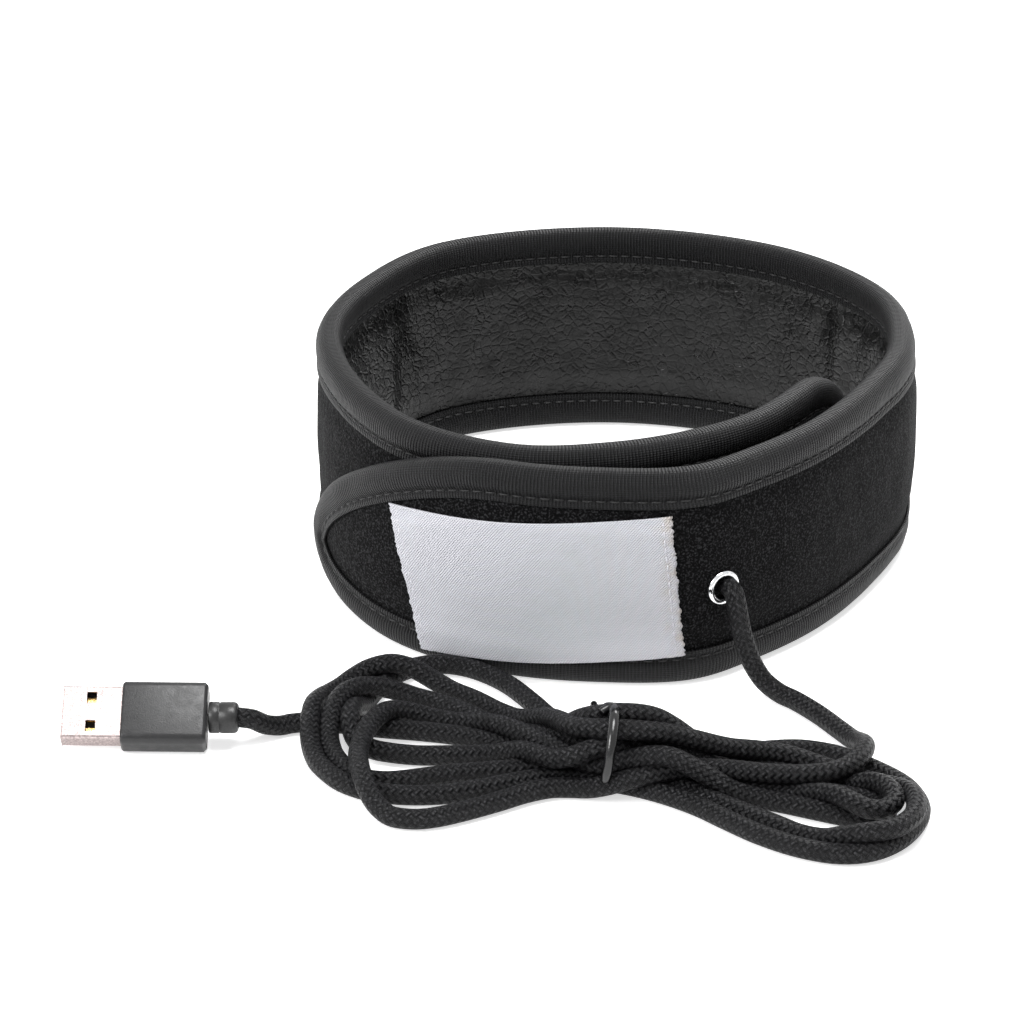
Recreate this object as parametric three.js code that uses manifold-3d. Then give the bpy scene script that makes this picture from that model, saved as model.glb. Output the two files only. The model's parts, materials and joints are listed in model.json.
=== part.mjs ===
// A dew heater strip for a telescope, laid in a ring on its lower edge, with its lead and its plug.
// Millimetres, +Z up. The origin is under the middle of the ring, on the surface that it stands on.
import * as THREE from 'three';
import { mergeGeometries, mergeVertices } from 'three/addons/utils/BufferGeometryUtils.js';
import Module from 'manifold-3d';

const wasm = await Module();
wasm.setup();

// Clearance that sewn, glued and seated faces keep from each other.
const GAP = 0.3;
const LINER_GAP = 0.45;

// The strip, flat: its width, and the rounds of its two ends.
const STRIP_WIDTH = 50;
const INNER_END_RADIUS = 20;
const FLAP_TIP_HEIGHT = 16;
const FLAP_UPPER_LENGTH = 54;
const FLAP_UPPER_SHOULDER = 29.5;
const FLAP_UPPER_HANDLE = 12;
const FLAP_LOWER_LENGTH = 44;
const FLAP_LOWER_SHOULDER = 20;
const FLAP_LOWER_HANDLE = 8.8;

// Its layers, from the velour on the outside to the leather on the inside.
const COVER_THICKNESS = 1.1;
const FOAM_THICKNESS = 0.85;
const TRACK_THICKNESS = 0.25;
const FILM_THICKNESS = 0.25;
const LINER_THICKNESS = 0.85;

// The edges are sewn down to this share of the full thickness, and rise from it over a short way.
const EDGE_SQUEEZE = 0.78;
const SQUEEZE_FROM = 10;
const SQUEEZE_TO = 14;

// The ring that the strip is laid in: angles from the front, in degrees, and the radius of the
// middle of the strip there, as a share of the ring's. The first row is the inner end, and the last
// the flap's tip.
const RING_RADIUS = 65;
const LAY = [
  [86, 0.792], [66, 0.726], [40, 0.742], [20, 0.769], [0, 0.823], [-20, 0.900],
  [-45, 0.931], [-75, 0.935], [-100, 0.977], [-122, 1.015], [-145, 1.062], [-180, 1.028],
  [-215, 1.046], [-243, 1.054], [-268, 0.982], [-290, 0.917], [-312, 0.923], [-330, 0.966],
  [-345, 1.031], [-362, 1.020], [-380, 1.028], [-400, 1.038], [-416, 1.043], [-432, 1.046],
];
const BARREL = 1.0;
const SIDE_BARREL = 1.8;
const SIDE_BARREL_ANGLE = -265;
const SIDE_BARREL_SPREAD = 30;
const STATION_STEP = 12;

// The binding tape: a rolled bead on the edge, a stitched groove and a narrow flange on each face.
const BEAD_HALF = 3.05;
const BEAD_HEIGHT = 5.6;
const BEAD_FOOT = 1.6;
const BINDING_DEPTH = 8;
const TAPE_THICKNESS = 0.5;
const GROOVE_DEPTH = 0.3;

// Upright puckers of the leather lining: angle, height of the fold and half its width.
const PUCKERS = [[-128, 1.1, 7], [-150, 0.9, 6], [-232, 1.2, 8], [-262, 0.8, 6]];

// What is sewn and set on the flap.
const LABEL_WIDTH = 66;
const LABEL_HEIGHT = STRIP_WIDTH * 0.64;
const LABEL_SLANT = 3.5;
const LABEL_THICKNESS = 0.5;
const LABEL_TILT = -5;
const LABEL_ANGLE = -374.5;
const LABEL_Z = STRIP_WIDTH * 0.43;
const PATCH_LENGTH = 31;
const PATCH_HEIGHT = 17;
const PATCH_THICKNESS = 1.1;
const PATCH_ANGLE = -401;
const PATCH_Z = 19.8;
const EYELET_ANGLE = -338.7;
const EYELET_Z = 22.2;
const EYELET_FLANGE_RADIUS = 3.9;
const EYELET_HOLE_RADIUS = 2.3;
const EYELET_WALL = 0.4;
const EYELET_RIM = 0.7;
const EYELET_SEAT = 0.65;
const WASHER_RADIUS = 3.6;
const WASHER_THICKNESS = 0.3;
const WASHER_SINK = 0.35;

// The heating element and its leads.
const TRACK_WIDTH = 2.4;
const TRACK_SPACING = 18;
const TRACK_END_MARGIN = 24;
const FILM_MARGIN = 4;
const JOINT_OFFSET = 16;
const JOINT_LENGTH = 6;
const JOINT_WIDTH = 2.4;
const JOINT_THICKNESS = 0.8;
const WIRE_DIAMETER = 0.7;
const WIRE_SPACING = 1.7;
const POCKET_HALF = 8;

// The cord: from the eyelet down to the hank, and from the hank to the plug.
const CORD_DIAMETER = 4;
const LEAD_END = [47.2, -91.3, 2];
const TAIL_START = [-67.4, -90.2, 2];

// The hank, which lies flat in two bundles of loops and is tied at its waist.
const HANK_HEIGHT = 9;
const LEFT_LOOPS = [
  [-3.5, -107], [-8, -92], [-18.5, -74], [-27, -68], [-40.5, -63], [-52, -68], [-60.5, -77.5],
  [-65, -90], [-63, -103], [-58, -114.5], [-50, -126], [-41.5, -133.5], [-30, -130.5], [-18, -124.5],
  [-5, -118],
];
const RIGHT_LOOPS = [
  [3.5, -112], [8, -121.5], [17, -128], [34.5, -141], [45.5, -145], [56, -143.5], [63.5, -136],
  [65.4, -125], [62.5, -114.5], [57, -104.5], [51, -98], [42, -97], [20.5, -102], [8, -106],
];
const WAIST_DIAMETER = 11.6;
const WAIST_LENGTH = 34;
const WAIST_Y = -112.5;
const TIE_DIAMETER = 2.2;
const TIE_TAIL_DIAMETER = 1.7;
const TIE_TAIL_END = [-3, -79, 1];

// The plug, measured from its mouth; it lies rolled over on the edge of its sleeve.
const SHELL_WIDTH = 12;
const SHELL_THICKNESS = 4.5;
const SHELL_WALL = 0.3;
const SHELL_OUT = 12.3;
const SHELL_HIDDEN = 4;
const SHELL_CORNER = 0.6;
const WINDOW_LENGTH = 2.1;
const WINDOW_WIDTH = 2.5;
const WINDOW_FROM_MOUTH = 5.95;
const WINDOW_SPACING = 6.5;
const TONGUE_THICKNESS = 1.7;
const TONGUE_INSET = 0.8;
const CONTACTS = [-3.5, -1, 1, 3.5];
const CONTACT_WIDTH = 1.1;
const CONTACT_THICKNESS = 0.2;
const CONTACT_LENGTH = 9;
const CONTACT_GAP = 0.1;
const SLEEVE_WIDTH = 14.2;
const SLEEVE_THICKNESS = 6.8;
const SLEEVE_LENGTH = 17.8;
const SLEEVE_CORNER = 1.8;
const SLEEVE_WALL = 0.8;
const MOULD_CORNER = 1;
const COLLAR_DIAMETER = 6.6;
const COLLAR_LENGTH = 6.2;
const COLLAR_ROUND = 0.8;
const CORD_IN_COLLAR = 4.5;
const PLUG_ROLL = 36;
const PLUG_MOUTH_X = -113.5;
const PLUG_Y = -96.6;

const MATERIALS = {
  velour: new THREE.MeshStandardMaterial({ color: 0x151516, roughness: 0.95 }),
  foam: new THREE.MeshStandardMaterial({ color: 0x4a4b4f, roughness: 0.95 }),
  copper: new THREE.MeshStandardMaterial({ color: 0xb8734a, roughness: 0.4, metalness: 1 }),
  film: new THREE.MeshStandardMaterial({ color: 0xb8741f, roughness: 0.35 }),
  leather: new THREE.MeshStandardMaterial({ color: 0x131315, roughness: 0.45 }),
  tape: new THREE.MeshStandardMaterial({ color: 0x1b1b1c, roughness: 0.7 }),
  hook: new THREE.MeshStandardMaterial({ color: 0x101011, roughness: 0.8 }),
  label: new THREE.MeshStandardMaterial({ color: 0xdddce4, roughness: 0.8 }),
  chrome: new THREE.MeshStandardMaterial({ color: 0xc8c9cc, roughness: 0.15, metalness: 1 }),
  red: new THREE.MeshStandardMaterial({ color: 0x9a2020, roughness: 0.5 }),
  black: new THREE.MeshStandardMaterial({ color: 0x161617, roughness: 0.5 }),
  solder: new THREE.MeshStandardMaterial({ color: 0xa8a9ab, roughness: 0.3, metalness: 1 }),
  braid: new THREE.MeshStandardMaterial({ color: 0x1a1a1b, roughness: 0.75 }),
  tie: new THREE.MeshStandardMaterial({ color: 0x0f0f10, roughness: 0.3 }),
  anodised: new THREE.MeshStandardMaterial({ color: 0x19191a, roughness: 0.5, metalness: 0.6 }),
  nickel: new THREE.MeshStandardMaterial({ color: 0xcdbfba, roughness: 0.28, metalness: 1 }),
  gold: new THREE.MeshStandardMaterial({ color: 0xc99a45, roughness: 0.25, metalness: 1 }),
};

const strip = new THREE.Group();
strip.name = 'dew_heater_strip';

// Plain helpers for closed meshes.
function closedGeometry(positions, triangles) {
  let volume = 0;
  for (let i = 0; i < triangles.length; i += 3) {
    const [a, b, c] = [0, 1, 2].map((k) => new THREE.Vector3(...positions[triangles[i + k]]));
    volume += a.dot(b.cross(c));
  }
  const index = [];
  for (let i = 0; i < triangles.length; i += 3) {
    const [a, b, c] = triangles.slice(i, i + 3);
    index.push(a, ...(volume > 0 ? [b, c] : [c, b]));
  }
  const geometry = new THREE.BufferGeometry();
  geometry.setAttribute('position', new THREE.Float32BufferAttribute(positions.flat(), 3));
  geometry.setIndex(index);
  return geometry;
}

function toManifold(geometry) {
  const bare = geometry.clone();
  bare.deleteAttribute('normal');
  bare.deleteAttribute('uv');
  const merged = mergeVertices(bare, 1e-4);
  return new wasm.Manifold(new wasm.Mesh({
    numProp: 3,
    vertProperties: Float32Array.from(merged.attributes.position.array),
    triVerts: Uint32Array.from(merged.index.array),
  }));
}

function fromManifold(solid) {
  const { vertProperties, triVerts } = solid.getMesh();
  const geometry = new THREE.BufferGeometry();
  geometry.setAttribute('position', new THREE.Float32BufferAttribute(Array.from(vertProperties), 3));
  geometry.setIndex(Array.from(triVerts));
  return geometry;
}

function cut(geometry, ...tools) {
  return fromManifold(tools.reduce((solid, tool) => solid.subtract(toManifold(tool)), toManifold(geometry)));
}

function join(...geometries) {
  return fromManifold(geometries.map(toManifold).reduce((sum, solid) => sum.add(solid)));
}

function add(name, geometry, material, parent = strip) {
  const mesh = new THREE.Mesh(geometry, MATERIALS[material]);
  mesh.name = name;
  parent.add(mesh);
  return mesh;
}

// The path of the strip's middle, seen from above.
const PATH = new THREE.CatmullRomCurve3(LAY.map(([angle, share]) => {
  const a = THREE.MathUtils.degToRad(angle);
  const r = RING_RADIUS * share;
  return new THREE.Vector3(r * Math.sin(a), -r * Math.cos(a), 0);
}), false, 'centripetal');
PATH.arcLengthDivisions = 4000;
const STRIP_LENGTH = PATH.getLength();

// How far along the strip a place lies that is given by its angle round the ring.
function alongAt(angle) {
  const row = LAY.findIndex(([a]) => a <= angle);
  const [a0] = LAY[row - 1];
  const [a1] = LAY[row];
  const t = (row - 1 + (a0 - angle) / (a0 - a1)) / (LAY.length - 1);
  return PATH.getLengths()[Math.round(t * PATH.arcLengthDivisions)];
}

const EYELET_S = alongAt(EYELET_ANGLE);
const LABEL_S = alongAt(LABEL_ANGLE);
const PATCH_S = alongAt(PATCH_ANGLE);
const SIDE_S = alongAt(SIDE_BARREL_ANGLE);
const PUCKER_S = PUCKERS.map(([angle, height, half]) => [alongAt(angle), height, half]);

// Bends the flat strip: a place along it, a height and a distance out of its middle become a point.
function place(s, z, n) {
  const u = THREE.MathUtils.clamp(s / STRIP_LENGTH, 0, 1);
  const point = PATH.getPointAt(u);
  const tangent = PATH.getTangentAt(u);
  const past = s - u * STRIP_LENGTH;
  const normal = new THREE.Vector3(-tangent.y, tangent.x, 0);
  const side = Math.exp(-(((s - SIDE_S) / SIDE_BARREL_SPREAD) ** 2));
  const crown = 1 - (2 * z / STRIP_WIDTH - 1) ** 2;
  const out = n + (BARREL + SIDE_BARREL * side) * crown;
  point.addScaledVector(tangent, past).addScaledVector(normal, out);
  return [point.x, point.y, z];
}

// The outline of the flat strip, once round, with the way into the material at each point.
function bezier(from, handleA, handleB, to, steps) {
  const curve = new THREE.CubicBezierCurve(
    new THREE.Vector2(...from), new THREE.Vector2(...handleA),
    new THREE.Vector2(...handleB), new THREE.Vector2(...to),
  );
  return Array.from({ length: steps + 1 }, (_, i) => {
    const p = curve.getPoint(i / steps);
    const t = curve.getTangent(i / steps);
    return { s: p.x, z: p.y, inS: -t.y, inZ: t.x };
  });
}

function corner(centreS, centreZ, from, to, steps) {
  return Array.from({ length: steps + 1 }, (_, i) => {
    const a = THREE.MathUtils.degToRad(from + (to - from) * i / steps);
    return {
      s: centreS + INNER_END_RADIUS * Math.cos(a),
      z: centreZ + INNER_END_RADIUS * Math.sin(a),
      inS: -Math.cos(a),
      inZ: -Math.sin(a),
    };
  });
}

function stationsBetween(from, to) {
  const count = Math.ceil((to - from) / STATION_STEP);
  return Array.from({ length: count + 1 }, (_, i) => from + (to - from) * i / count);
}

const UPPER_START = STRIP_LENGTH - FLAP_UPPER_LENGTH;
const LOWER_START = STRIP_LENGTH - FLAP_LOWER_LENGTH;
const NEAR_EYELET = [-5, 0, 5].map((step) => EYELET_S + step);
const STATIONS = [...stationsBetween(INNER_END_RADIUS, UPPER_START),
  ...stationsBetween(UPPER_START, LOWER_START).slice(1)]
  .filter((s) => NEAR_EYELET.every((near) => Math.abs(s - near) > 3))
  .concat(NEAR_EYELET).sort((a, b) => a - b);

function outline(steps) {
  const r = INNER_END_RADIUS;
  const flat = STATIONS.map((s) => ({ s, z: 0, inS: 0, inZ: 1 }));
  const top = STATIONS.filter((s) => s <= UPPER_START + 1e-6).reverse()
    .map((s) => ({ s, z: STRIP_WIDTH, inS: 0, inZ: -1 }));
  const tip = [STRIP_LENGTH, FLAP_TIP_HEIGHT];
  const lower = bezier([LOWER_START, 0], [STRIP_LENGTH - FLAP_LOWER_SHOULDER + FLAP_LOWER_HANDLE, 0],
    [STRIP_LENGTH, FLAP_TIP_HEIGHT - FLAP_LOWER_HANDLE], tip, steps);
  const upper = bezier(tip, [STRIP_LENGTH, FLAP_TIP_HEIGHT + FLAP_UPPER_HANDLE],
    [STRIP_LENGTH - FLAP_UPPER_SHOULDER, STRIP_WIDTH], [UPPER_START, STRIP_WIDTH], steps);
  return [...flat, ...lower.slice(1), ...upper.slice(1, -1), ...top,
    ...corner(r, STRIP_WIDTH - r, 90, 180, steps - 2).slice(1),
    ...corner(r, r, 180, 270, steps - 2).slice(0, -1)];
}

// The lowest and highest point of the strip at a place along it, kept a margin inside its outline.
function heights(s, margin) {
  const rim = outline(24).map((p) => [p.s + margin * p.inS, p.z + margin * p.inZ]);
  const found = [];
  for (let i = 0; i < rim.length; i += 1) {
    const [s0, z0] = rim[i];
    const [s1, z1] = rim[(i + 1) % rim.length];
    if ((s0 <= s) !== (s1 <= s)) {
      found.push(z0 + (z1 - z0) * (s - s0) / (s1 - s0));
    }
  }
  return [Math.min(...found), Math.max(...found)];
}

// How thick the layers are at a place, as a share of their full thickness.
const RIM = outline(7);

function squeeze(s, z) {
  let nearest = SQUEEZE_TO;
  for (let i = 0; i < RIM.length; i += 1) {
    const a = RIM[i];
    const b = RIM[(i + 1) % RIM.length];
    const along = [b.s - a.s, b.z - a.z];
    const square = along[0] ** 2 + along[1] ** 2;
    const t = square ? THREE.MathUtils.clamp(((s - a.s) * along[0] + (z - a.z) * along[1]) / square, 0, 1) : 0;
    nearest = Math.min(nearest, Math.hypot(s - a.s - t * along[0], z - a.z - t * along[1]));
  }
  return THREE.MathUtils.lerp(EDGE_SQUEEZE, 1, THREE.MathUtils.smoothstep(nearest, SQUEEZE_FROM, SQUEEZE_TO));
}

// A closed slab over a grid of places on the strip, between two distances from its middle.
function slab(us, vs, at, outer, inner) {
  const positions = [];
  const triangles = [];
  const columns = us.length;
  const rows = vs.length;
  for (const face of [outer, inner]) {
    for (const u of us) {
      for (const v of vs) {
        const [s, z] = at(u, v);
        positions.push(place(s, z, typeof face === 'function' ? face(s, z) : face));
      }
    }
  }
  const id = (face, i, j) => face * columns * rows + i * rows + j;
  const quad = (a, b, c, d) => triangles.push(a, b, c, a, c, d);
  for (let i = 0; i < columns - 1; i += 1) {
    for (let j = 0; j < rows - 1; j += 1) {
      quad(id(0, i, j), id(0, i + 1, j), id(0, i + 1, j + 1), id(0, i, j + 1));
      quad(id(1, i, j), id(1, i, j + 1), id(1, i + 1, j + 1), id(1, i + 1, j));
    }
    quad(id(0, i, 0), id(1, i, 0), id(1, i + 1, 0), id(0, i + 1, 0));
    quad(id(0, i, rows - 1), id(0, i + 1, rows - 1), id(1, i + 1, rows - 1), id(1, i, rows - 1));
  }
  for (let j = 0; j < rows - 1; j += 1) {
    quad(id(0, 0, j), id(0, 0, j + 1), id(1, 0, j + 1), id(1, 0, j));
    quad(id(0, columns - 1, j), id(1, columns - 1, j), id(1, columns - 1, j + 1), id(0, columns - 1, j + 1));
  }
  return closedGeometry(positions, triangles);
}

function fractions(count) {
  return Array.from({ length: count + 1 }, (_, i) => i / count);
}

// A layer of the strip, cut to its outline less a margin.
function layer(margin, rows, outer, inner, lift = () => 0) {
  const face = (n) => (s, z) => n * squeeze(s, z) + lift(s, z);
  const ends = [0.4, 1.6, 4, 7.5, 12];
  const first = ends.map((e) => margin + e).filter((s) => s < INNER_END_RADIUS - 2);
  const flap = [32, 24, 17, ...ends.slice().reverse()];
  const last = flap.map((e) => STRIP_LENGTH - margin - e).filter((s) => s > LOWER_START + 2);
  const span = new Map([...first, ...STATIONS, ...last].map((s) => [s, heights(s, margin)]));
  const at = (s, v) => [s, THREE.MathUtils.lerp(...span.get(s), v)];
  return slab([...span.keys()], rows, at, face(outer), face(inner));
}

// Distances of the layers' faces from the strip's middle, from the outside in.
const COVER_OUT = (COVER_THICKNESS + FOAM_THICKNESS + TRACK_THICKNESS + FILM_THICKNESS
  + LINER_THICKNESS + 3 * GAP + LINER_GAP) / 2;
const COVER_IN = COVER_OUT - COVER_THICKNESS;
const FOAM_OUT = COVER_IN - GAP;
const FOAM_IN = FOAM_OUT - FOAM_THICKNESS;
const TRACK_OUT = FOAM_IN - GAP;
const TRACK_IN = TRACK_OUT - TRACK_THICKNESS;
const FILM_OUT = TRACK_IN - GAP;
const FILM_IN = FILM_OUT - FILM_THICKNESS;
const LINER_OUT = FILM_IN - LINER_GAP;
const LINER_IN = LINER_OUT - LINER_THICKNESS;
const FLANGE_IN = COVER_OUT * EDGE_SQUEEZE + GAP;
const FLANGE_OUT = FLANGE_IN + TAPE_THICKNESS;
const BINDING_SEAT = BEAD_HEIGHT / 2;
const SHEET_ROWS = [0, 0.14, 0.27, 0.73, 0.86, 1];
const FILM_ROWS = [0, 0.07, 0.22, 0.78, 0.93, 1];
const LAYER_MARGIN = BINDING_SEAT + 2 * GAP;
const WASHER_BACK = FOAM_OUT - WASHER_SINK - WASHER_THICKNESS;

// The eyelet's hole and the room behind it for the washer, the wires and their joints.
function onStrip(geometry, s, z, n) {
  const here = new THREE.Vector3(...place(s, z, n));
  const outward = new THREE.Vector3(...place(s, z, n + 1)).sub(here).normalize();
  const turn = new THREE.Quaternion().setFromUnitVectors(new THREE.Vector3(0, 1, 0), outward);
  return geometry.applyQuaternion(turn).translate(here.x, here.y, here.z);
}

const BARREL_RADIUS = EYELET_HOLE_RADIUS + EYELET_WALL;
const JOINT_S = EYELET_S - JOINT_OFFSET;
const TRACK_HIGH = (STRIP_WIDTH + TRACK_SPACING) / 2;
const TRACK_LOW = (STRIP_WIDTH - TRACK_SPACING) / 2;

function coverSheet() {
  const hole = onStrip(new THREE.CylinderGeometry(BARREL_RADIUS + GAP, BARREL_RADIUS + GAP, 8, 24),
    EYELET_S, EYELET_Z, COVER_OUT - 1);
  return cut(layer(LAYER_MARGIN, SHEET_ROWS, COVER_OUT, COVER_IN), hole);
}

function foamSheet() {
  const from = JOINT_S - JOINT_LENGTH - 2;
  const to = EYELET_S + POCKET_HALF;
  const low = EYELET_Z - POCKET_HALF;
  const high = TRACK_HIGH + POCKET_HALF / 2;
  const steps = stationsBetween(from, to);
  const pocket = slab(steps, [low, high], (s, z) => [s, z], COVER_OUT, FILM_IN);
  return cut(layer(LAYER_MARGIN, SHEET_ROWS, FOAM_OUT, FOAM_IN), pocket);
}

// The lining stands in along each pucker, most in the middle of its height.
function pucker(s, z) {
  const crown = Math.sin(Math.PI * THREE.MathUtils.clamp(z / STRIP_WIDTH, 0, 1)) ** 0.6;
  return PUCKER_S.reduce((sum, [at, height, half]) => {
    const x = Math.min(1, Math.abs(s - at) / half);
    return sum + height * crown * (1 + Math.cos(Math.PI * x)) / 2;
  }, 0);
}

function linerSheet() {
  const lift = (s, z) => -pucker(s, z) * (squeeze(s, z) - EDGE_SQUEEZE) / (1 - EDGE_SQUEEZE);
  return layer(LAYER_MARGIN, SHEET_ROWS, LINER_OUT, LINER_IN, lift);
}

// The binding's section: distance in from the edge, and distance out of the strip's middle.
function bindingSection() {
  const half = [
    [0, BEAD_FOOT / 2],
    [BEAD_HEIGHT * 0.17, BEAD_HALF * 0.75],
    [BEAD_HEIGHT * 0.46, BEAD_HALF],
    [BEAD_HEIGHT * 0.85, Math.max(BEAD_HALF, FLANGE_OUT)],
    [BEAD_HEIGHT, FLANGE_OUT - GROOVE_DEPTH],
    [BEAD_HEIGHT + 0.7, FLANGE_OUT],
    [BINDING_DEPTH, FLANGE_OUT],
    [BINDING_DEPTH, FLANGE_IN],
    [BINDING_SEAT, FLANGE_IN],
  ];
  return [...half, ...half.slice().reverse().map(([e, n]) => [e, -n])];
}

function bindingTape() {
  const section = bindingSection();
  const positions = RIM.flatMap((p) => section.map(([e, n]) => place(p.s + e * p.inS, p.z + e * p.inZ, n)));
  const triangles = [];
  const round = section.length;
  for (let i = 0; i < RIM.length; i += 1) {
    const next = (i + 1) % RIM.length;
    for (let j = 0; j < round; j += 1) {
      const k = (j + 1) % round;
      const [a, b, c, d] = [i * round + j, next * round + j, next * round + k, i * round + k];
      triangles.push(a, b, c, a, c, d);
    }
  }
  return closedGeometry(positions, triangles);
}

// The heating track: one loop along the film and back, with both its ends at the joints.
function trackRibbon() {
  const from = TRACK_END_MARGIN;
  const to = STRIP_LENGTH - TRACK_END_MARGIN - FLAP_UPPER_SHOULDER;
  const inside = STATIONS.filter((s) => s > from + 2 && s < to - 2);
  const east = inside.filter((s) => s > JOINT_S + 2);
  const west = inside.filter((s) => s < JOINT_S - JOINT_LENGTH - 2);
  const run = [
    [JOINT_S, TRACK_HIGH], ...east.map((s) => [s, TRACK_HIGH]), [to, TRACK_HIGH], [to, TRACK_LOW],
    ...inside.slice().reverse().map((s) => [s, TRACK_LOW]), [from, TRACK_LOW], [from, TRACK_HIGH],
    ...west.map((s) => [s, TRACK_HIGH]), [JOINT_S - JOINT_LENGTH, TRACK_HIGH],
  ];
  const half = TRACK_WIDTH / 2;
  const sides = run.map(([s, z], i) => {
    const [s0, z0] = run[Math.max(0, i - 1)];
    const [s1, z1] = run[Math.min(run.length - 1, i + 1)];
    const turn = s !== s0 && z !== z1 || z !== z0 && s !== s1;
    const length = Math.hypot(s1 - s0, z1 - z0);
    const reach = turn ? half * Math.SQRT2 : half;
    const across = turn ? [Math.sign(z0 - z1) * Math.SQRT1_2, Math.sign(s1 - s0) * Math.SQRT1_2]
      : [(z0 - z1) / length, (s1 - s0) / length];
    return [s, z, across[0] * reach, across[1] * reach];
  });
  const at = (i, side) => [sides[i][0] + side * sides[i][2], sides[i][1] + side * sides[i][3]];
  return slab(sides.map((_, i) => i), [-1, 1], at, TRACK_OUT, TRACK_IN);
}

// The label lies over the flange and the bead at its lower edge, and on the velour above them.
function labelPatch() {
  const tilt = THREE.MathUtils.degToRad(LABEL_TILT);
  const at = (u, v) => {
    const a = (u - 0.5) * LABEL_WIDTH - u * (1 - v) * LABEL_SLANT;
    const b = (v - 0.5) * LABEL_HEIGHT;
    return [LABEL_S + a * Math.cos(tilt) - b * Math.sin(tilt), LABEL_Z + a * Math.sin(tilt) + b * Math.cos(tilt)];
  };
  const over = (z) => 1 - THREE.MathUtils.smoothstep(z, BINDING_DEPTH + 0.4, BINDING_DEPTH + 3);
  const under = (s, z) => Math.max(COVER_OUT * squeeze(s, z), over(z) * BEAD_HALF) + GAP;
  return slab(fractions(14), fractions(8), at, (s, z) => under(s, z) + LABEL_THICKNESS, under);
}

function hookPatch() {
  const at = (u, v) => [PATCH_S + (u - 0.5) * PATCH_LENGTH, PATCH_Z + (v - 0.5) * PATCH_HEIGHT];
  const out = LINER_IN - GAP;
  return slab(fractions(7), fractions(3), at, out, out - PATCH_THICKNESS);
}

function eyeletRing() {
  const seat = COVER_OUT + EYELET_SEAT;
  const back = WASHER_BACK - seat;
  const profile = [
    [EYELET_HOLE_RADIUS, back], [BARREL_RADIUS, back], [BARREL_RADIUS, 0],
    [EYELET_FLANGE_RADIUS, 0], [EYELET_FLANGE_RADIUS, EYELET_RIM * 0.4],
    [EYELET_FLANGE_RADIUS - 0.4, EYELET_RIM * 0.85], [(EYELET_FLANGE_RADIUS + BARREL_RADIUS) / 2, EYELET_RIM],
    [BARREL_RADIUS, EYELET_RIM * 0.9], [EYELET_HOLE_RADIUS, EYELET_RIM * 0.35], [EYELET_HOLE_RADIUS, back],
  ].map(([x, y]) => new THREE.Vector2(x, y));
  return onStrip(new THREE.LatheGeometry(profile, 24), EYELET_S, EYELET_Z, seat);
}

function eyeletWasher() {
  const profile = [
    [BARREL_RADIUS + GAP, 0], [WASHER_RADIUS, 0], [WASHER_RADIUS, WASHER_THICKNESS],
    [BARREL_RADIUS + GAP, WASHER_THICKNESS], [BARREL_RADIUS + GAP, 0],
  ].map(([x, y]) => new THREE.Vector2(x, y));
  return onStrip(new THREE.LatheGeometry(profile, 24), EYELET_S, EYELET_Z, WASHER_BACK);
}

// A round bar along a curve.
function bar(points, diameter, sides, steps) {
  const section = new THREE.Shape();
  section.absarc(0, 0, diameter / 2, 0, 2 * Math.PI, false);
  const curve = new THREE.CatmullRomCurve3(points.map((p) => new THREE.Vector3(...p)), false, 'centripetal');
  return new THREE.ExtrudeGeometry(section, { extrudePath: curve, steps, curveSegments: sides / 2 });
}

// The wires go through the eyelet, turn under its washer and run up to the joints.
const WIRE_N = (COVER_IN + TRACK_OUT) / 2;
const UNDER_WASHER = WASHER_BACK - 0.15 - WIRE_DIAMETER / 2;
const JOINTS = { positive: JOINT_S, negative: JOINT_S - JOINT_LENGTH };
const WIRE_ENDS_Z = TRACK_HIGH - JOINT_WIDTH / 2 - GAP - WIRE_DIAMETER / 2;
const WIRE_RISE = { positive: [[0.4, 5], [6, 8.2]], negative: [[2.4, 5.2], [13, 6]] };

function wire(side) {
  const start = EYELET_S + (side === 'positive' ? 1 : -1) * WIRE_SPACING / 2;
  const [[back, up], [farBack, farUp]] = WIRE_RISE[side];
  return bar([
    place(start, EYELET_Z, COVER_OUT),
    place(start, EYELET_Z, FOAM_OUT),
    place(start, EYELET_Z + 0.9, UNDER_WASHER),
    place(start, EYELET_Z + 3.4, UNDER_WASHER),
    place(EYELET_S - back, EYELET_Z + up, WIRE_N - 0.2),
    place(EYELET_S - farBack, EYELET_Z + farUp, WIRE_N),
    place(JOINTS[side] + 3, WIRE_ENDS_Z - 0.8, WIRE_N),
    place(JOINTS[side], WIRE_ENDS_Z, WIRE_N),
  ], WIRE_DIAMETER, 6, 18);
}

function joint(side) {
  const s = JOINTS[side];
  const out = THREE.MathUtils.lerp(TRACK_OUT, COVER_IN, 0.5) + JOINT_THICKNESS / 2;
  const at = (u, v) => [s + (u - 0.5) * JOINT_WIDTH, TRACK_HIGH + (v - 0.5) * JOINT_WIDTH];
  return slab(fractions(1), fractions(1), at, out, out - JOINT_THICKNESS);
}

// The cord from the eyelet: straight out, then down to the floor and along it to the hank.
function leadPath() {
  const mouth = EYELET_S;
  return [
    place(mouth, EYELET_Z, COVER_OUT + 0.4),
    place(mouth, EYELET_Z, COVER_OUT + 3),
    place(mouth - 0.6, EYELET_Z - 2, COVER_OUT + 6),
    [29.6, -75.8, 12],
    [32.2, -77.6, 6],
    [35.2, -79.6, 2.9],
    [40.1, -84, 2.15],
    LEAD_END,
  ];
}

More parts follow.
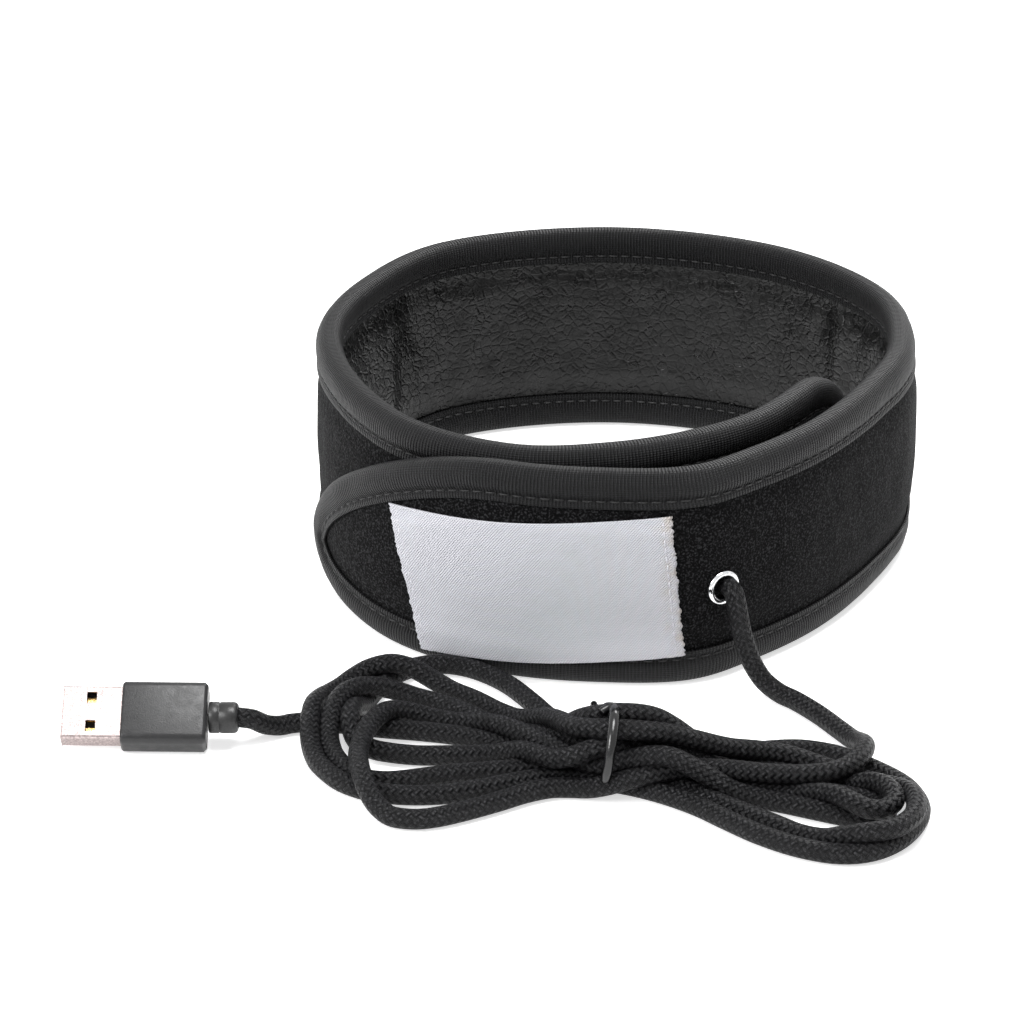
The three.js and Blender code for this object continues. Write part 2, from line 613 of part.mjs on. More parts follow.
function flatLobe(points) {
  const curve = new THREE.CatmullRomCurve3(points.map(([x, y]) => new THREE.Vector3(x, y, 0)), true, 'centripetal');
  const shape = new THREE.Shape(curve.getPoints(32).slice(0, -1).map((p) => new THREE.Vector2(p.x, p.y)));
  const bevel = HANK_HEIGHT * 0.22;
  return new THREE.ExtrudeGeometry(shape, {
    depth: HANK_HEIGHT - 2 * bevel, bevelEnabled: true, bevelSize: bevel, bevelThickness: bevel,
    bevelOffset: -bevel, bevelSegments: 2,
  }).translate(0, 0, bevel);
}

const TIE_RING_RADIUS = WAIST_DIAMETER / 2 + GAP + TIE_DIAMETER / 2;
const WAIST_Z = TIE_RING_RADIUS + TIE_DIAMETER / 2;

function hank() {
  const waist = new THREE.CylinderGeometry(WAIST_DIAMETER / 2, WAIST_DIAMETER / 2, WAIST_LENGTH, 20)
    .rotateZ(Math.PI / 2).translate(0, WAIST_Y, WAIST_Z);
  const clear = TIE_DIAMETER;
  const room = new THREE.BoxGeometry(2 * clear, 60, 60).translate(0, WAIST_Y, 0);
  const lobes = [LEFT_LOOPS, RIGHT_LOOPS].map((points) => cut(flatLobe(points), room));
  return join(waist, ...lobes);
}

function twistTie() {
  const ring = new THREE.TorusGeometry(TIE_RING_RADIUS, TIE_DIAMETER / 2, 8, 24)
    .rotateY(Math.PI / 2).translate(0, WAIST_Y, WAIST_Z);
  const top = WAIST_Z + TIE_RING_RADIUS;
  const tail = bar([
    [0, WAIST_Y - 1, top], [-0.4, WAIST_Y + 4, top - 0.6], [-1, WAIST_Y + 11, top - 4],
    [-2, WAIST_Y + 20, 4], TIE_TAIL_END,
  ], TIE_TAIL_DIAMETER, 8, 10);
  return join(ring, tail);
}

// The plug's own pieces lie along x from the mouth, with the width along y.
function roundedBox(width, height, radius) {
  const w = width / 2 - radius;
  const h = height / 2 - radius;
  const shape = new THREE.Shape();
  shape.absarc(w, h, radius, 0, Math.PI / 2);
  shape.absarc(-w, h, radius, Math.PI / 2, Math.PI);
  shape.absarc(-w, -h, radius, Math.PI, 1.5 * Math.PI);
  shape.absarc(w, -h, radius, 1.5 * Math.PI, 2 * Math.PI);
  return shape;
}

function along(shape, from, to) {
  const turn = new THREE.Matrix4().makeBasis(
    new THREE.Vector3(0, 1, 0), new THREE.Vector3(0, 0, 1), new THREE.Vector3(1, 0, 0),
  );
  return new THREE.ExtrudeGeometry(shape, { depth: to - from, bevelEnabled: false, curveSegments: 5 })
    .applyMatrix4(turn).translate(from, 0, 0);
}

function block(x0, x1, y0, y1, z0, z1) {
  return new THREE.BoxGeometry(x1 - x0, y1 - y0, z1 - z0)
    .translate((x0 + x1) / 2, (y0 + y1) / 2, (z0 + z1) / 2);
}

const SLEEVE_END = SHELL_OUT + SLEEVE_LENGTH;
const COLLAR_START = SLEEVE_END + GAP;
const PLUG_TURN = THREE.MathUtils.degToRad(PLUG_ROLL);
const PLUG_Z = (SLEEVE_WIDTH / 2 - SLEEVE_CORNER) * Math.sin(PLUG_TURN)
  + (SLEEVE_THICKNESS / 2 - SLEEVE_CORNER) * Math.cos(PLUG_TURN) + SLEEVE_CORNER;

function shell() {
  const outer = along(roundedBox(SHELL_WIDTH, SHELL_THICKNESS, SHELL_CORNER), 0, SHELL_OUT + SHELL_HIDDEN);
  const bore = along(roundedBox(SHELL_WIDTH - 2 * SHELL_WALL, SHELL_THICKNESS - 2 * SHELL_WALL,
    SHELL_CORNER - SHELL_WALL), -1, SHELL_OUT + SHELL_HIDDEN + 1);
  const windows = [-1, 1].map((side) => {
    const y = side * WINDOW_SPACING / 2;
    return block(WINDOW_FROM_MOUTH - WINDOW_LENGTH / 2, WINDOW_FROM_MOUTH + WINDOW_LENGTH / 2,
      y - WINDOW_WIDTH / 2, y + WINDOW_WIDTH / 2, -SHELL_THICKNESS, SHELL_THICKNESS);
  });
  return cut(outer, bore, ...windows);
}

const TONGUE_BOTTOM = -SHELL_THICKNESS / 2 + SHELL_WALL + GAP;
const TONGUE_TOP = TONGUE_BOTTOM + TONGUE_THICKNESS;

function tongue() {
  const half = SHELL_WIDTH / 2 - SHELL_WALL - GAP;
  return block(TONGUE_INSET, SHELL_OUT + SHELL_HIDDEN, -half, half, TONGUE_BOTTOM, TONGUE_TOP);
}

function contact(y) {
  const z = TONGUE_TOP + CONTACT_GAP;
  return block(TONGUE_INSET + 0.6, TONGUE_INSET + 0.6 + CONTACT_LENGTH,
    y - CONTACT_WIDTH / 2, y + CONTACT_WIDTH / 2, z, z + CONTACT_THICKNESS);
}

function sleeve() {
  const outer = along(roundedBox(SLEEVE_WIDTH, SLEEVE_THICKNESS, SLEEVE_CORNER), SHELL_OUT, SLEEVE_END);
  const bore = along(roundedBox(SLEEVE_WIDTH - 2 * SLEEVE_WALL, SLEEVE_THICKNESS - 2 * SLEEVE_WALL,
    SLEEVE_CORNER - SLEEVE_WALL), SHELL_OUT - 1, SLEEVE_END + 1);
  return cut(outer, bore);
}

function mould() {
  const width = SLEEVE_WIDTH - 2 * SLEEVE_WALL - 2 * GAP;
  const height = SLEEVE_THICKNESS - 2 * SLEEVE_WALL - 2 * GAP;
  return along(roundedBox(width, height, MOULD_CORNER), SHELL_OUT + SHELL_HIDDEN + GAP, SLEEVE_END);
}

function collar() {
  const bore = CORD_DIAMETER / 2 + GAP;
  const r = COLLAR_DIAMETER / 2;
  const k = COLLAR_ROUND;
  const profile = [
    [bore, 0], [r - 0.3, 0], [r, 0.3], [r, COLLAR_LENGTH - k], [r - k * 0.3, COLLAR_LENGTH - k * 0.3],
    [r - k, COLLAR_LENGTH], [bore, COLLAR_LENGTH], [bore, 0],
  ].map(([x, y]) => new THREE.Vector2(x, y));
  return new THREE.LatheGeometry(profile, 20).rotateZ(-Math.PI / 2).translate(COLLAR_START, 0, 0);
}

function onFloor(geometry) {
  return geometry.rotateX(PLUG_TURN).translate(PLUG_MOUTH_X, PLUG_Y, PLUG_Z);
}

function tailPath() {
  const end = COLLAR_START + COLLAR_LENGTH - CORD_IN_COLLAR;
  const x = PLUG_MOUTH_X + end;
  return [
    TAIL_START,
    [TAIL_START[0] - 3.5, THREE.MathUtils.lerp(TAIL_START[1], PLUG_Y, 0.45), 3.4],
    [x + CORD_IN_COLLAR + 2, PLUG_Y, PLUG_Z],
    [x + CORD_IN_COLLAR / 2, PLUG_Y, PLUG_Z],
    [x, PLUG_Y, PLUG_Z],
  ];
}

add('outer_cover', coverSheet(), 'velour');
add('insulation_foam', foamSheet(), 'foam');
add('heater_track', trackRibbon(), 'copper');
add('heater_film', layer(LAYER_MARGIN + FILM_MARGIN, FILM_ROWS, FILM_OUT, FILM_IN), 'film');
add('inner_liner', linerSheet(), 'leather');
add('edge_binding', bindingTape(), 'tape');
add('hook_patch', hookPatch(), 'hook');
add('woven_label', labelPatch(), 'label');
add('eyelet', eyeletRing(), 'chrome');
add('eyelet_washer', eyeletWasher(), 'chrome');
const band = new THREE.Box3().setFromObject(strip);
add('lead_wire_positive', wire('positive'), 'red');
add('lead_wire_negative', wire('negative'), 'black');
add('joint_positive', joint('positive'), 'solder');
add('joint_negative', joint('negative'), 'solder');
add('cord_lead', bar(leadPath(), CORD_DIAMETER, 10, 18), 'braid');
add('cord_hank', hank(), 'braid');
add('cord_tail', bar(tailPath(), CORD_DIAMETER, 10, 14), 'braid');
add('twist_tie', twistTie(), 'tie');
add('plug_sleeve', onFloor(sleeve()), 'anodised');
add('plug_collar', onFloor(collar()), 'braid');
add('plug_mould', onFloor(mould()), 'black');
add('usb_shell', onFloor(shell()), 'nickel');
add('usb_tongue', onFloor(tongue()), 'black');
CONTACTS.forEach((y, i) => add(`usb_contact_${i + 1}`, onFloor(contact(y)), 'gold'));

// The origin goes under the middle of the ring, on the surface that it stands on.
const middle = band.getCenter(new THREE.Vector3());
strip.children.forEach((mesh) => mesh.geometry.translate(-middle.x, -middle.y, -band.min.z));

export default strip;
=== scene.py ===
"""A dew heater strip for a telescope: looks, in the frame of its CAD model."""
import json
import math

import bpy
import numpy as np
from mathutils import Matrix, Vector


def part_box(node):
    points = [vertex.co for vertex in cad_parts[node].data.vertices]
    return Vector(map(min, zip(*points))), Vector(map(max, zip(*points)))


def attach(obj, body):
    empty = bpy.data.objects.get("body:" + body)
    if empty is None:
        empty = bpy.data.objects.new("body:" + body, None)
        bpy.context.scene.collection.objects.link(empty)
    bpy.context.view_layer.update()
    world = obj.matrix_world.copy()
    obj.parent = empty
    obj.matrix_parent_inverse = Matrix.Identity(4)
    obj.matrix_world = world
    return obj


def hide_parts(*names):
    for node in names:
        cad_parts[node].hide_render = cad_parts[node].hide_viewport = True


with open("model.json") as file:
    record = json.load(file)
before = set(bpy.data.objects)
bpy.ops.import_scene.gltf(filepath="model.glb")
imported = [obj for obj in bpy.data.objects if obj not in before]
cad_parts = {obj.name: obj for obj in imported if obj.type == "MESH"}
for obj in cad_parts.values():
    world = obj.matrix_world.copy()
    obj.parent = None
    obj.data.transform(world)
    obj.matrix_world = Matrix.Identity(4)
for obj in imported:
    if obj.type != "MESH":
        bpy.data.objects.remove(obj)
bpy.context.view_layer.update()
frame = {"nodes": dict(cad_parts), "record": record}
nodes = frame["nodes"]

# Lengths are in millimetres until a mesh is made. Places are measured from the middle of the
# circle that the strip is laid to, and this moves them to the model's own origin.
PLUG_MOUTH_X = -113.5
WAIST_Y = -112.5
WAIST_Z = 8.3
shift_x = PLUG_MOUTH_X - 1000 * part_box("usb_shell")[0][0]
tie_low = 1000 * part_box("twist_tie")[0][1]
shift_y = WAIST_Y - WAIST_Z - tie_low
SHIFT = np.array([shift_x, shift_y, 0.0])

# The camera, from the ring's two edges in the photograph.
ELEVATION = math.radians(25)
DISTANCE = 1037.0
PIXELS = 4611.0
CENTRE = (610.0, 446.0)
AIM = np.array([0.0, -1.6, 25.0])


def make_camera():
    data = bpy.data.cameras.new("camera")
    data.sensor_width = 36
    data.lens = PIXELS / 1024 * 36
    data.clip_start = 0.05
    data.clip_end = 20
    data.dof.use_dof = False
    camera = bpy.data.objects.new("camera", data)
    bpy.context.collection.objects.link(camera)
    back = Vector((0, -math.cos(ELEVATION), math.sin(ELEVATION)))
    place_mm = AIM - SHIFT + DISTANCE * np.array(back)
    right = Vector((1, 0, 0))
    up = Vector((0, math.sin(ELEVATION), math.cos(ELEVATION)))
    forward = -back * PIXELS + right * (512 - CENTRE[0]) - up * (512 - CENTRE[1])
    camera.location = Vector(place_mm) / 1000
    camera.rotation_euler = forward.to_track_quat("-Z", "Y").to_euler()
    bpy.context.scene.camera = camera


make_camera()


# Meshes from grids of points.
def grid(name, points, us, vs, wrap_u=False, wrap_v=False, cap=False, material=None):
    """A mesh on a grid of points, with a UV that is the length along each way, in metres."""
    points = np.asarray(points, float)
    nu, nv = points.shape[:2]
    i = np.arange(nu if wrap_u else nu - 1)
    j = np.arange(nv if wrap_v else nv - 1)
    a, b = np.meshgrid(i, j, indexing="ij")
    a2, b2 = (a + 1) % nu, (b + 1) % nv
    quads = np.stack([a * nv + b, a2 * nv + b, a2 * nv + b2, a * nv + b2], -1).reshape(-1, 4)
    us, vs = np.asarray(us, float), np.asarray(vs, float)
    uv = np.stack([
        np.stack([us[a], vs[b]], -1), np.stack([us[a + 1], vs[b]], -1),
        np.stack([us[a + 1], vs[b + 1]], -1), np.stack([us[a], vs[b + 1]], -1)], -2).reshape(-1, 2)
    faces = quads.tolist()
    if cap:
        half = nv // 2
        for column, flip in ((0, False), (nu - 1, True)):
            for k in range(half - 1):
                face = [column * nv + k, column * nv + k + 1,
                        column * nv + nv - 2 - k, column * nv + nv - 1 - k]
                faces.append(face[::-1] if flip else face)
        uv = np.vstack([uv, np.zeros((4 * 2 * (half - 1), 2))])
    mesh = bpy.data.meshes.new(name)
    flat = (points.reshape(-1, 3) - SHIFT) / 1000
    mesh.from_pydata(flat.tolist(), [], faces)
    layer = mesh.uv_layers.new(name="lengths")
    layer.data.foreach_set("uv", uv.ravel())
    mesh.polygons.foreach_set("use_smooth", [True] * len(mesh.polygons))
    mesh.update()
    outward(mesh)
    obj = bpy.data.objects.new(name, mesh)
    bpy.context.collection.objects.link(obj)
    if material:
        mesh.materials.append(material)
    return obj


def outward(mesh):
    """Turns a closed mesh's faces outward."""
    mesh.calc_loop_triangles()
    corners = np.empty(3 * len(mesh.vertices))
    mesh.vertices.foreach_get("co", corners)
    corners = corners.reshape(-1, 3)
    index = np.empty(3 * len(mesh.loop_triangles), int)
    mesh.loop_triangles.foreach_get("vertices", index)
    a, b, c = (corners[index[k::3]] for k in range(3))
    if (a * np.cross(b, c)).sum() < 0:
        mesh.flip_normals()


def lengths(points):
    steps = np.linalg.norm(np.diff(points, axis=0), axis=1)
    return np.r_[0, np.cumsum(steps)]


def resample(points, step):
    along = lengths(points)
    count = max(2, int(round(along[-1] / step)))
    wanted = np.linspace(0, along[-1], count + 1)
    return np.stack([np.interp(wanted, along, points[:, k]) for k in range(points.shape[1])], 1)


def spline(knots, fine=0.5):
    """A centripetal Catmull-Rom curve through the knots, as the CAD source draws it."""
    knots = np.asarray(knots, float)
    ends = np.vstack([2 * knots[0] - knots[1], knots, 2 * knots[-1] - knots[-2]])
    out = []
    for p0, p1, p2, p3 in zip(ends, ends[1:], ends[2:], ends[3:]):
        d0, d1, d2 = (max(1e-6, np.linalg.norm(q - p) ** 0.5) for p, q in ((p0, p1), (p1, p2), (p2, p3)))
        t1 = ((p1 - p0) / d0 - (p2 - p0) / (d0 + d1) + (p2 - p1) / d1) * d1
        t2 = ((p2 - p1) / d1 - (p3 - p1) / (d1 + d2) + (p3 - p2) / d2) * d1
        for t in np.linspace(0, 1, max(2, int(np.linalg.norm(p2 - p1) / fine)), endpoint=False):
            out.append(p1 + t1 * t + (3 * (p2 - p1) - 2 * t1 - t2) * t * t
                       + (2 * (p1 - p2) + t1 + t2) * t ** 3)
    out.append(knots[-1])
    return np.array(out)


def frames(line):
    """Directions along a line and two across it that turn as little as they can."""
    tangent = np.gradient(line, axis=0)
    tangent /= np.linalg.norm(tangent, axis=1)[:, None]
    side = np.cross(tangent[0], [0, 0, 1.0])
    if np.linalg.norm(side) < 0.1:
        side = np.cross(tangent[0], [0, 1.0, 0])
    sides = []
    for t in tangent:
        side = side - t * (side @ t)
        side /= np.linalg.norm(side)
        sides.append(side)
    sides = np.array(sides)
    return tangent, sides, np.cross(tangent, sides)


def tube(name, line, radius, around, material, uv_turns=1.0, flat_end=True):
    """A round bar along a line. radius is a number, or one for each point."""
    tangent, side, other = frames(line)
    radius = np.broadcast_to(np.asarray(radius, float), len(line))
    if flat_end:
        line = np.vstack([line[:1], line, line[-1:]])
        side = np.vstack([side[:1], side, side[-1:]])
        other = np.vstack([other[:1], other, other[-1:]])
        radius = np.r_[0.02 * radius[0], radius, 0.02 * radius[-1]]
    turn = np.linspace(0, 2 * math.pi, around, endpoint=False)
    ring = side[:, None] * np.cos(turn)[:, None] + other[:, None] * np.sin(turn)[:, None]
    points = line[:, None] + radius[:, None, None] * ring
    return grid(name, points, lengths(line) / 1000, np.linspace(0, uv_turns, around + 1),
                wrap_v=True, material=material)


# The strip: its path, and the bend of a flat place on it, as in the CAD source.
STRIP_WIDTH = 50.0
END_RADIUS = 20.0
TIP_HEIGHT = 16.0
FLAP_LOWER = 44
FLAP_UPPER = 60
RING_RADIUS = 65.0
LAY = [
    (86, 0.792), (66, 0.726), (40, 0.742), (20, 0.769), (0, 0.823), (-20, 0.900), (-45, 0.931),
    (-75, 0.935), (-100, 0.977), (-122, 1.015), (-145, 1.062), (-180, 1.028), (-215, 1.046),
    (-243, 1.054), (-268, 0.982), (-290, 0.917), (-312, 0.923), (-330, 0.966), (-345, 1.031),
    (-362, 1.020), (-380, 1.028), (-400, 1.038), (-416, 1.043), (-432, 1.046),
]
# The layers ease out of the solids' lay, at angles round the ring given without their minus sign.
FLAP_TRIM = 10
EASE_ANGLES = [75, 100, 130, 385, 416, 432]
EASE = np.interp(-np.array([row[0] for row in LAY]), EASE_ANGLES, [0, 0.6, 0, 0, -0.5, -0.7])
BARREL = 1.0
SIDE_BARREL = 1.8
SIDE_ANGLE = -265
SIDE_SPREAD = 30.0

lay = np.array(LAY, float)
lay[:, 1] += EASE / RING_RADIUS
turns = np.radians(lay[:, 0])
path_knots = np.stack([RING_RADIUS * lay[:, 1] * np.sin(turns),
                       -RING_RADIUS * lay[:, 1] * np.cos(turns), 0 * turns], 1)
path = resample(spline(path_knots, 0.1), 0.25)
path = path[:-FLAP_TRIM]
path_s = lengths(path)
STRIP_LENGTH = path_s[-1]
path_t = np.gradient(path, axis=0)
path_t /= np.linalg.norm(path_t, axis=1)[:, None]
path_angle = np.degrees(np.unwrap(np.arctan2(path[:, 0], -path[:, 1])))
path_angle += lay[0, 0] - path_angle[0]


def along_at(angle):
    """How far along the strip a place lies that is given by its angle round the ring."""
    return float(np.interp(-angle, -path_angle, path_s))


def place(s, z, n):
    """Bends flat places: along the strip, up, and out of its middle."""
    s, z, n = np.broadcast_arrays(np.asarray(s, float), z, n)
    inside = np.clip(s, 0, STRIP_LENGTH)
    at = [np.interp(inside, path_s, path[:, k]) for k in (0, 1)]
    t = [np.interp(inside, path_s, path_t[:, k]) for k in (0, 1)]
    side = np.exp(-((s - along_at(SIDE_ANGLE)) / SIDE_SPREAD) ** 2)
    crown = 1 - (2 * z / STRIP_WIDTH - 1) ** 2
    out = n + (BARREL + SIDE_BARREL * side) * crown
    past = s - inside
    return np.stack([at[0] + t[0] * past - t[1] * out, at[1] + t[1] * past + t[0] * out, z + 0 * s], -1)


def bezier(a, b, c, d, steps=60):
    t = np.linspace(0, 1, steps + 1)[:, None]
    a, b, c, d = (np.array(p, float) for p in (a, b, c, d))
    point = a * (1 - t) ** 3 + 3 * b * t * (1 - t) ** 2 + 3 * c * t * t * (1 - t) + d * t ** 3
    way = 3 * ((b - a) * (1 - t) ** 2 + 2 * (c - b) * t * (1 - t) + (d - c) * t * t)
    way /= np.linalg.norm(way, axis=1)[:, None]
    return np.hstack([point, np.stack([-way[:, 1], way[:, 0]], 1)])


def arc(centre, start, stop, steps=40):
    a = np.radians(np.linspace(start, stop, steps + 1))
    c, s = np.cos(a), np.sin(a)
    return np.stack([centre[0] + END_RADIUS * c, centre[1] + END_RADIUS * s, -c, -s], 1)


def edge_line(start, stop, z, inward):
    s = np.linspace(start, stop, 400)
    return np.stack([s, 0 * s + z, 0 * s, 0 * s + inward], 1)


L = STRIP_LENGTH
low_rim = np.vstack([
    arc((END_RADIUS, END_RADIUS), 180, 270)[:-1],
    edge_line(END_RADIUS, L - FLAP_LOWER, 0, 1)[:-1],
    bezier((L - FLAP_LOWER, 0), (L - 20 + 8.8, 0), (L, TIP_HEIGHT - 8.8), (L, TIP_HEIGHT)),
])
high_rim = np.vstack([
    arc((END_RADIUS, STRIP_WIDTH - END_RADIUS), 180, 90)[:-1],
    edge_line(END_RADIUS, L - FLAP_UPPER, STRIP_WIDTH, -1)[:-1],
    bezier((L, TIP_HEIGHT), (L, TIP_HEIGHT + 12), (L - 33, STRIP_WIDTH),
           (L - FLAP_UPPER, STRIP_WIDTH))[::-1],
])


def heights(s, margin):
    """The strip's lowest and highest place at s, kept a margin inside its outline."""
    found = []
    for rim in (low_rim, high_rim):
        inner = rim[:, :2] + margin * rim[:, 2:]
        order = np.maximum.accumulate(inner[:, 0])
        found.append(np.interp(s, order, inner[:, 1]))
    return found


whole_rim = np.vstack([low_rim[:-1], high_rim[::-1][:-1]])


def edge_distance(s, z):
    """How far flat places are from the strip's edge."""
    rim = resample(np.vstack([whole_rim, whole_rim[:1]]), 2.0)[:, :2]
    shape = np.broadcast(s, z).shape
    here = np.stack([np.broadcast_to(s, shape).ravel(), np.broadcast_to(z, shape).ravel()], 1)
    best = np.full(len(here), 1e9)
    for chunk in np.array_split(rim, 24):
        best = np.minimum(best, np.linalg.norm(here[:, None] - chunk[None], axis=2).min(1))
    return best.reshape(shape)


def smooth(x, low, high):
    t = np.clip((x - low) / (high - low), 0, 1)
    return t * t * (3 - 2 * t)


def squeeze(s, z):
    return 0.78 + 0.22 * smooth(edge_distance(s, z), 9.5, 14)


def waves(s, z, size, seed, count=14):
    """A smooth, seeded unevenness, about -1 to 1, with bumps of about one size."""
    chance = np.random.default_rng(seed)
    total = 0
    for _ in range(count):
        a, phase = chance.uniform(0, 2 * math.pi, 2)
        k = 2 * math.pi / (size * chance.uniform(0.6, 1.7))
        total = total + np.sin(k * (s * math.cos(a) + z * math.sin(a)) + phase)
    return total / math.sqrt(count)


# Procedural finishes.
class Finish:
    """A material built from nodes. Lengths are in metres."""

    def __init__(self, name, colour, rough, **more):
        self.mat = bpy.data.materials.new(name)
        self.mat.use_nodes = True
        self.tree = self.mat.node_tree
        self.skin = self.tree.nodes["Principled BSDF"]
        self.put(self.skin, "Base Color", colour)
        self.put(self.skin, "Roughness", rough)
        for key, value in more.items():
            self.put(self.skin, key.replace("_", " "), value)
        self.last_bump = None

    def put(self, node, key, value):
        socket = node.inputs[key]
        if isinstance(value, bpy.types.NodeSocket):
            self.tree.links.new(value, socket)
        elif isinstance(value, (tuple, list)) and len(value) == 3 and socket.type == "RGBA":
            socket.default_value = (*value, 1)
        else:
            socket.default_value = value

    def node(self, kind, settings=None, **inputs):
        made = self.tree.nodes.new("ShaderNode" + kind)
        for key, value in (settings or {}).items():
            setattr(made, key, value)
        for key, value in inputs.items():
            self.put(made, key.replace("_", " "), value)
        return made

    def math(self, operation, a, b=0.0):
        made = self.tree.nodes.new("ShaderNodeMath")
        made.operation = operation
        self.put(made, 0, a)
        self.put(made, 1, b)
        return made.outputs[0]

    def where(self, scale=(1, 1, 1)):
        made = self.node("VectorMath", {"operation": "MULTIPLY"})
        self.put(made, 0, self.node("TexCoord").outputs["Object"])
        made.inputs[1].default_value = scale
        return made.outputs[0]

    def along(self):
        split = self.node("SeparateXYZ")
        self.put(split, 0, self.node("UVMap", {"uv_map": "lengths"}).outputs[0])
        return split.outputs[0], split.outputs[1]

    def noise(self, size, detail=2.0, stretch=(1, 1, 1)):
        made = self.node("TexNoise", Vector=self.where(stretch), Scale=1 / size, Detail=detail)
        return made.outputs[0]

    def cells(self, size, warp=0.0):
        at = self.where()
        if warp:
            moved = self.node("VectorMath", {"operation": "MULTIPLY_ADD"})
            self.put(moved, 0, self.node("TexNoise", Vector=at, Scale=0.4 / size).outputs[1])
            moved.inputs[1].default_value = (warp, warp, warp)
            self.put(moved, 2, at)
            at = moved.outputs[0]
        made = self.node("TexVoronoi", {"feature": "DISTANCE_TO_EDGE"}, Vector=at, Scale=1 / size)
        return made.outputs[0]

    def span(self, value, low, high, first=0.0, last=1.0):
        made = self.node("MapRange", {"interpolation_type": "SMOOTHSTEP"})
        for key, number in enumerate((value, low, high, first, last)):
            self.put(made, key, number)
        return made.outputs[0]

    def mix(self, share, a, b):
        made = self.node("Mix", {"data_type": "RGBA"})
        self.put(made, 0, share)
        self.put(made, 6, a)
        self.put(made, 7, b)
        return made.outputs[2]

    def colour(self, share, a, b):
        self.put(self.skin, "Base Color", self.mix(share, a, b))

    def bump(self, height, depth):
        made = self.node("Bump", Height=height, Distance=depth, Strength=1.0)
        if self.last_bump:
            self.put(made, "Normal", self.last_bump)
        self.last_bump = made.outputs[0]
        self.put(self.skin, "Normal", self.last_bump)


def velour():
    f = Finish("velour", (0.01, 0.01, 0.01), 0.95, Sheen_Weight=0.05, Sheen_Roughness=0.4)
    f.put(f.skin, "Specular IOR Level", 0.08)
    loops = f.noise(0.00045, 3)
    tufts = f.noise(0.0016, 2)
    f.colour(f.span(loops, 0.46, 0.7), (0.002, 0.002, 0.0022), (0.036, 0.036, 0.038))
    f.bump(tufts, 0.0003)
    f.bump(loops, 0.00022)
    return f.mat


def leather():
    f = Finish("leather", (0.004, 0.004, 0.004), 0.36)
    f.put(f.skin, "Specular IOR Level", 0.3)
    edges = f.span(f.cells(0.0019, 0.0012), 0.0, 0.2)
    fine = f.span(f.cells(0.0008, 0.0005), 0.0, 0.25)
    folds = f.noise(0.011, 3, (1, 1, 0.45))
    f.put(f.skin, "Roughness", f.span(f.noise(0.004, 3), 0.35, 0.7, 0.27, 0.42))
    # Painted shade: the crinkle lines are coloured darker than the cells between them.
    f.colour(edges, (0.001, 0.001, 0.001), (0.004, 0.004, 0.004))
    f.bump(folds, 0.0016)
    f.bump(edges, 0.00009)
    f.bump(fine, 0.00003)
    return f.mat


def tape():
    f = Finish("tape", (0.005, 0.005, 0.005), 0.5)
    f.put(f.skin, "Specular IOR Level", 0.22)
    u, v = f.along()
    drift = f.math("MULTIPLY", f.noise(0.003, 1), 0.0002)
    rib = f.math("SINE", f.math("MULTIPLY", f.math("ADD", u, drift), 2 * math.pi / 0.00074))
    cross = f.math("SINE", f.math("MULTIPLY", v, 2 * math.pi / 0.0005))
    height = f.math("ADD", rib, f.math("MULTIPLY", cross, 0.25))
    # Painted highlight and shade: the rib crests are coloured lighter and the grooves between them darker.
    f.colour(f.span(height, -0.9, 1.1), (0.0008, 0.0008, 0.001), (0.013, 0.013, 0.014))
    f.bump(height, 0.00016)
    f.bump(f.noise(0.004, 2), 0.0002)
    return f.mat


# The braid's lighter colour is a painted highlight, laid on the raised plies.
def braid(name="braid", plain=(0.003, 0.003, 0.0035), highlight_colour=(0.05, 0.05, 0.053)):
    f = Finish(name, plain, 0.5)
    f.put(f.skin, "Specular IOR Level", 0.16)
    u, v = f.along()
    along = f.math("MULTIPLY", u, 1 / 0.0016)
    around = f.math("MULTIPLY", v, 8.0)
    a, b = f.math("ADD", along, around), f.math("SUBTRACT", along, around)
    whole = f.math("ADD", f.math("FLOOR", a), f.math("FLOOR", b))
    over = f.math("MODULO", f.math("ADD", whole, 4000.0), 2.0)
    crown_a = f.math("SINE", f.math("MULTIPLY", f.math("FRACT", f.math("ADD", a, 400.0)), math.pi))
    crown_b = f.math("SINE", f.math("MULTIPLY", f.math("FRACT", f.math("ADD", b, 400.0)), math.pi))
    under = f.math("SUBTRACT", 1.0, over)
    ply = f.math("ADD", f.math("MULTIPLY", over, crown_a), f.math("MULTIPLY", under, crown_b))
    cross = f.math("ADD", f.math("MULTIPLY", over, b), f.math("MULTIPLY", under, a))
    thread = f.math("SINE", f.math("MULTIPLY", cross, 2 * math.pi * 3))
    # Painted highlight: the crown of each raised ply, broken up by noise, is coloured lighter.
    grain_and_highlight = f.math("MULTIPLY", f.span(ply, 0.55, 1.0), f.span(f.noise(0.0005, 2), 0.4, 0.75))
    f.colour(grain_and_highlight, plain, highlight_colour)
    f.put(f.skin, "Roughness", f.span(thread, -1, 1, 0.55, 0.38))
    f.bump(ply, 0.0003)
    f.bump(thread, 0.00004)
    return f.mat


def woven():
    f = Finish("label", (0.7, 0.7, 0.76), 0.75)
    u, v = f.along()
    twill = f.math("SINE", f.math("MULTIPLY", f.math("ADD", u, v), 2 * math.pi / 0.00062))
    pick = f.math("SINE", f.math("MULTIPLY", v, 2 * math.pi / 0.00041))
    weave = f.math("ADD", twill, f.math("MULTIPLY", pick, 0.4))
    cloth = f.mix(f.span(weave, -1.2, 1.2), (0.57, 0.57, 0.63), (0.74, 0.74, 0.78))
    right_end = f.math("SUBTRACT", 1.0, f.span(u, 0.0, 0.005))
    aged = f.math("MULTIPLY", right_end, f.span(f.noise(0.004, 3), 0.35, 0.65))
    aged = f.math("MULTIPLY", aged, 0.5)
    f.colour(aged, cloth, (0.52, 0.42, 0.3))
    f.bump(weave, 0.00007)
    f.bump(f.noise(0.009, 2), 0.00015)
    return f.mat


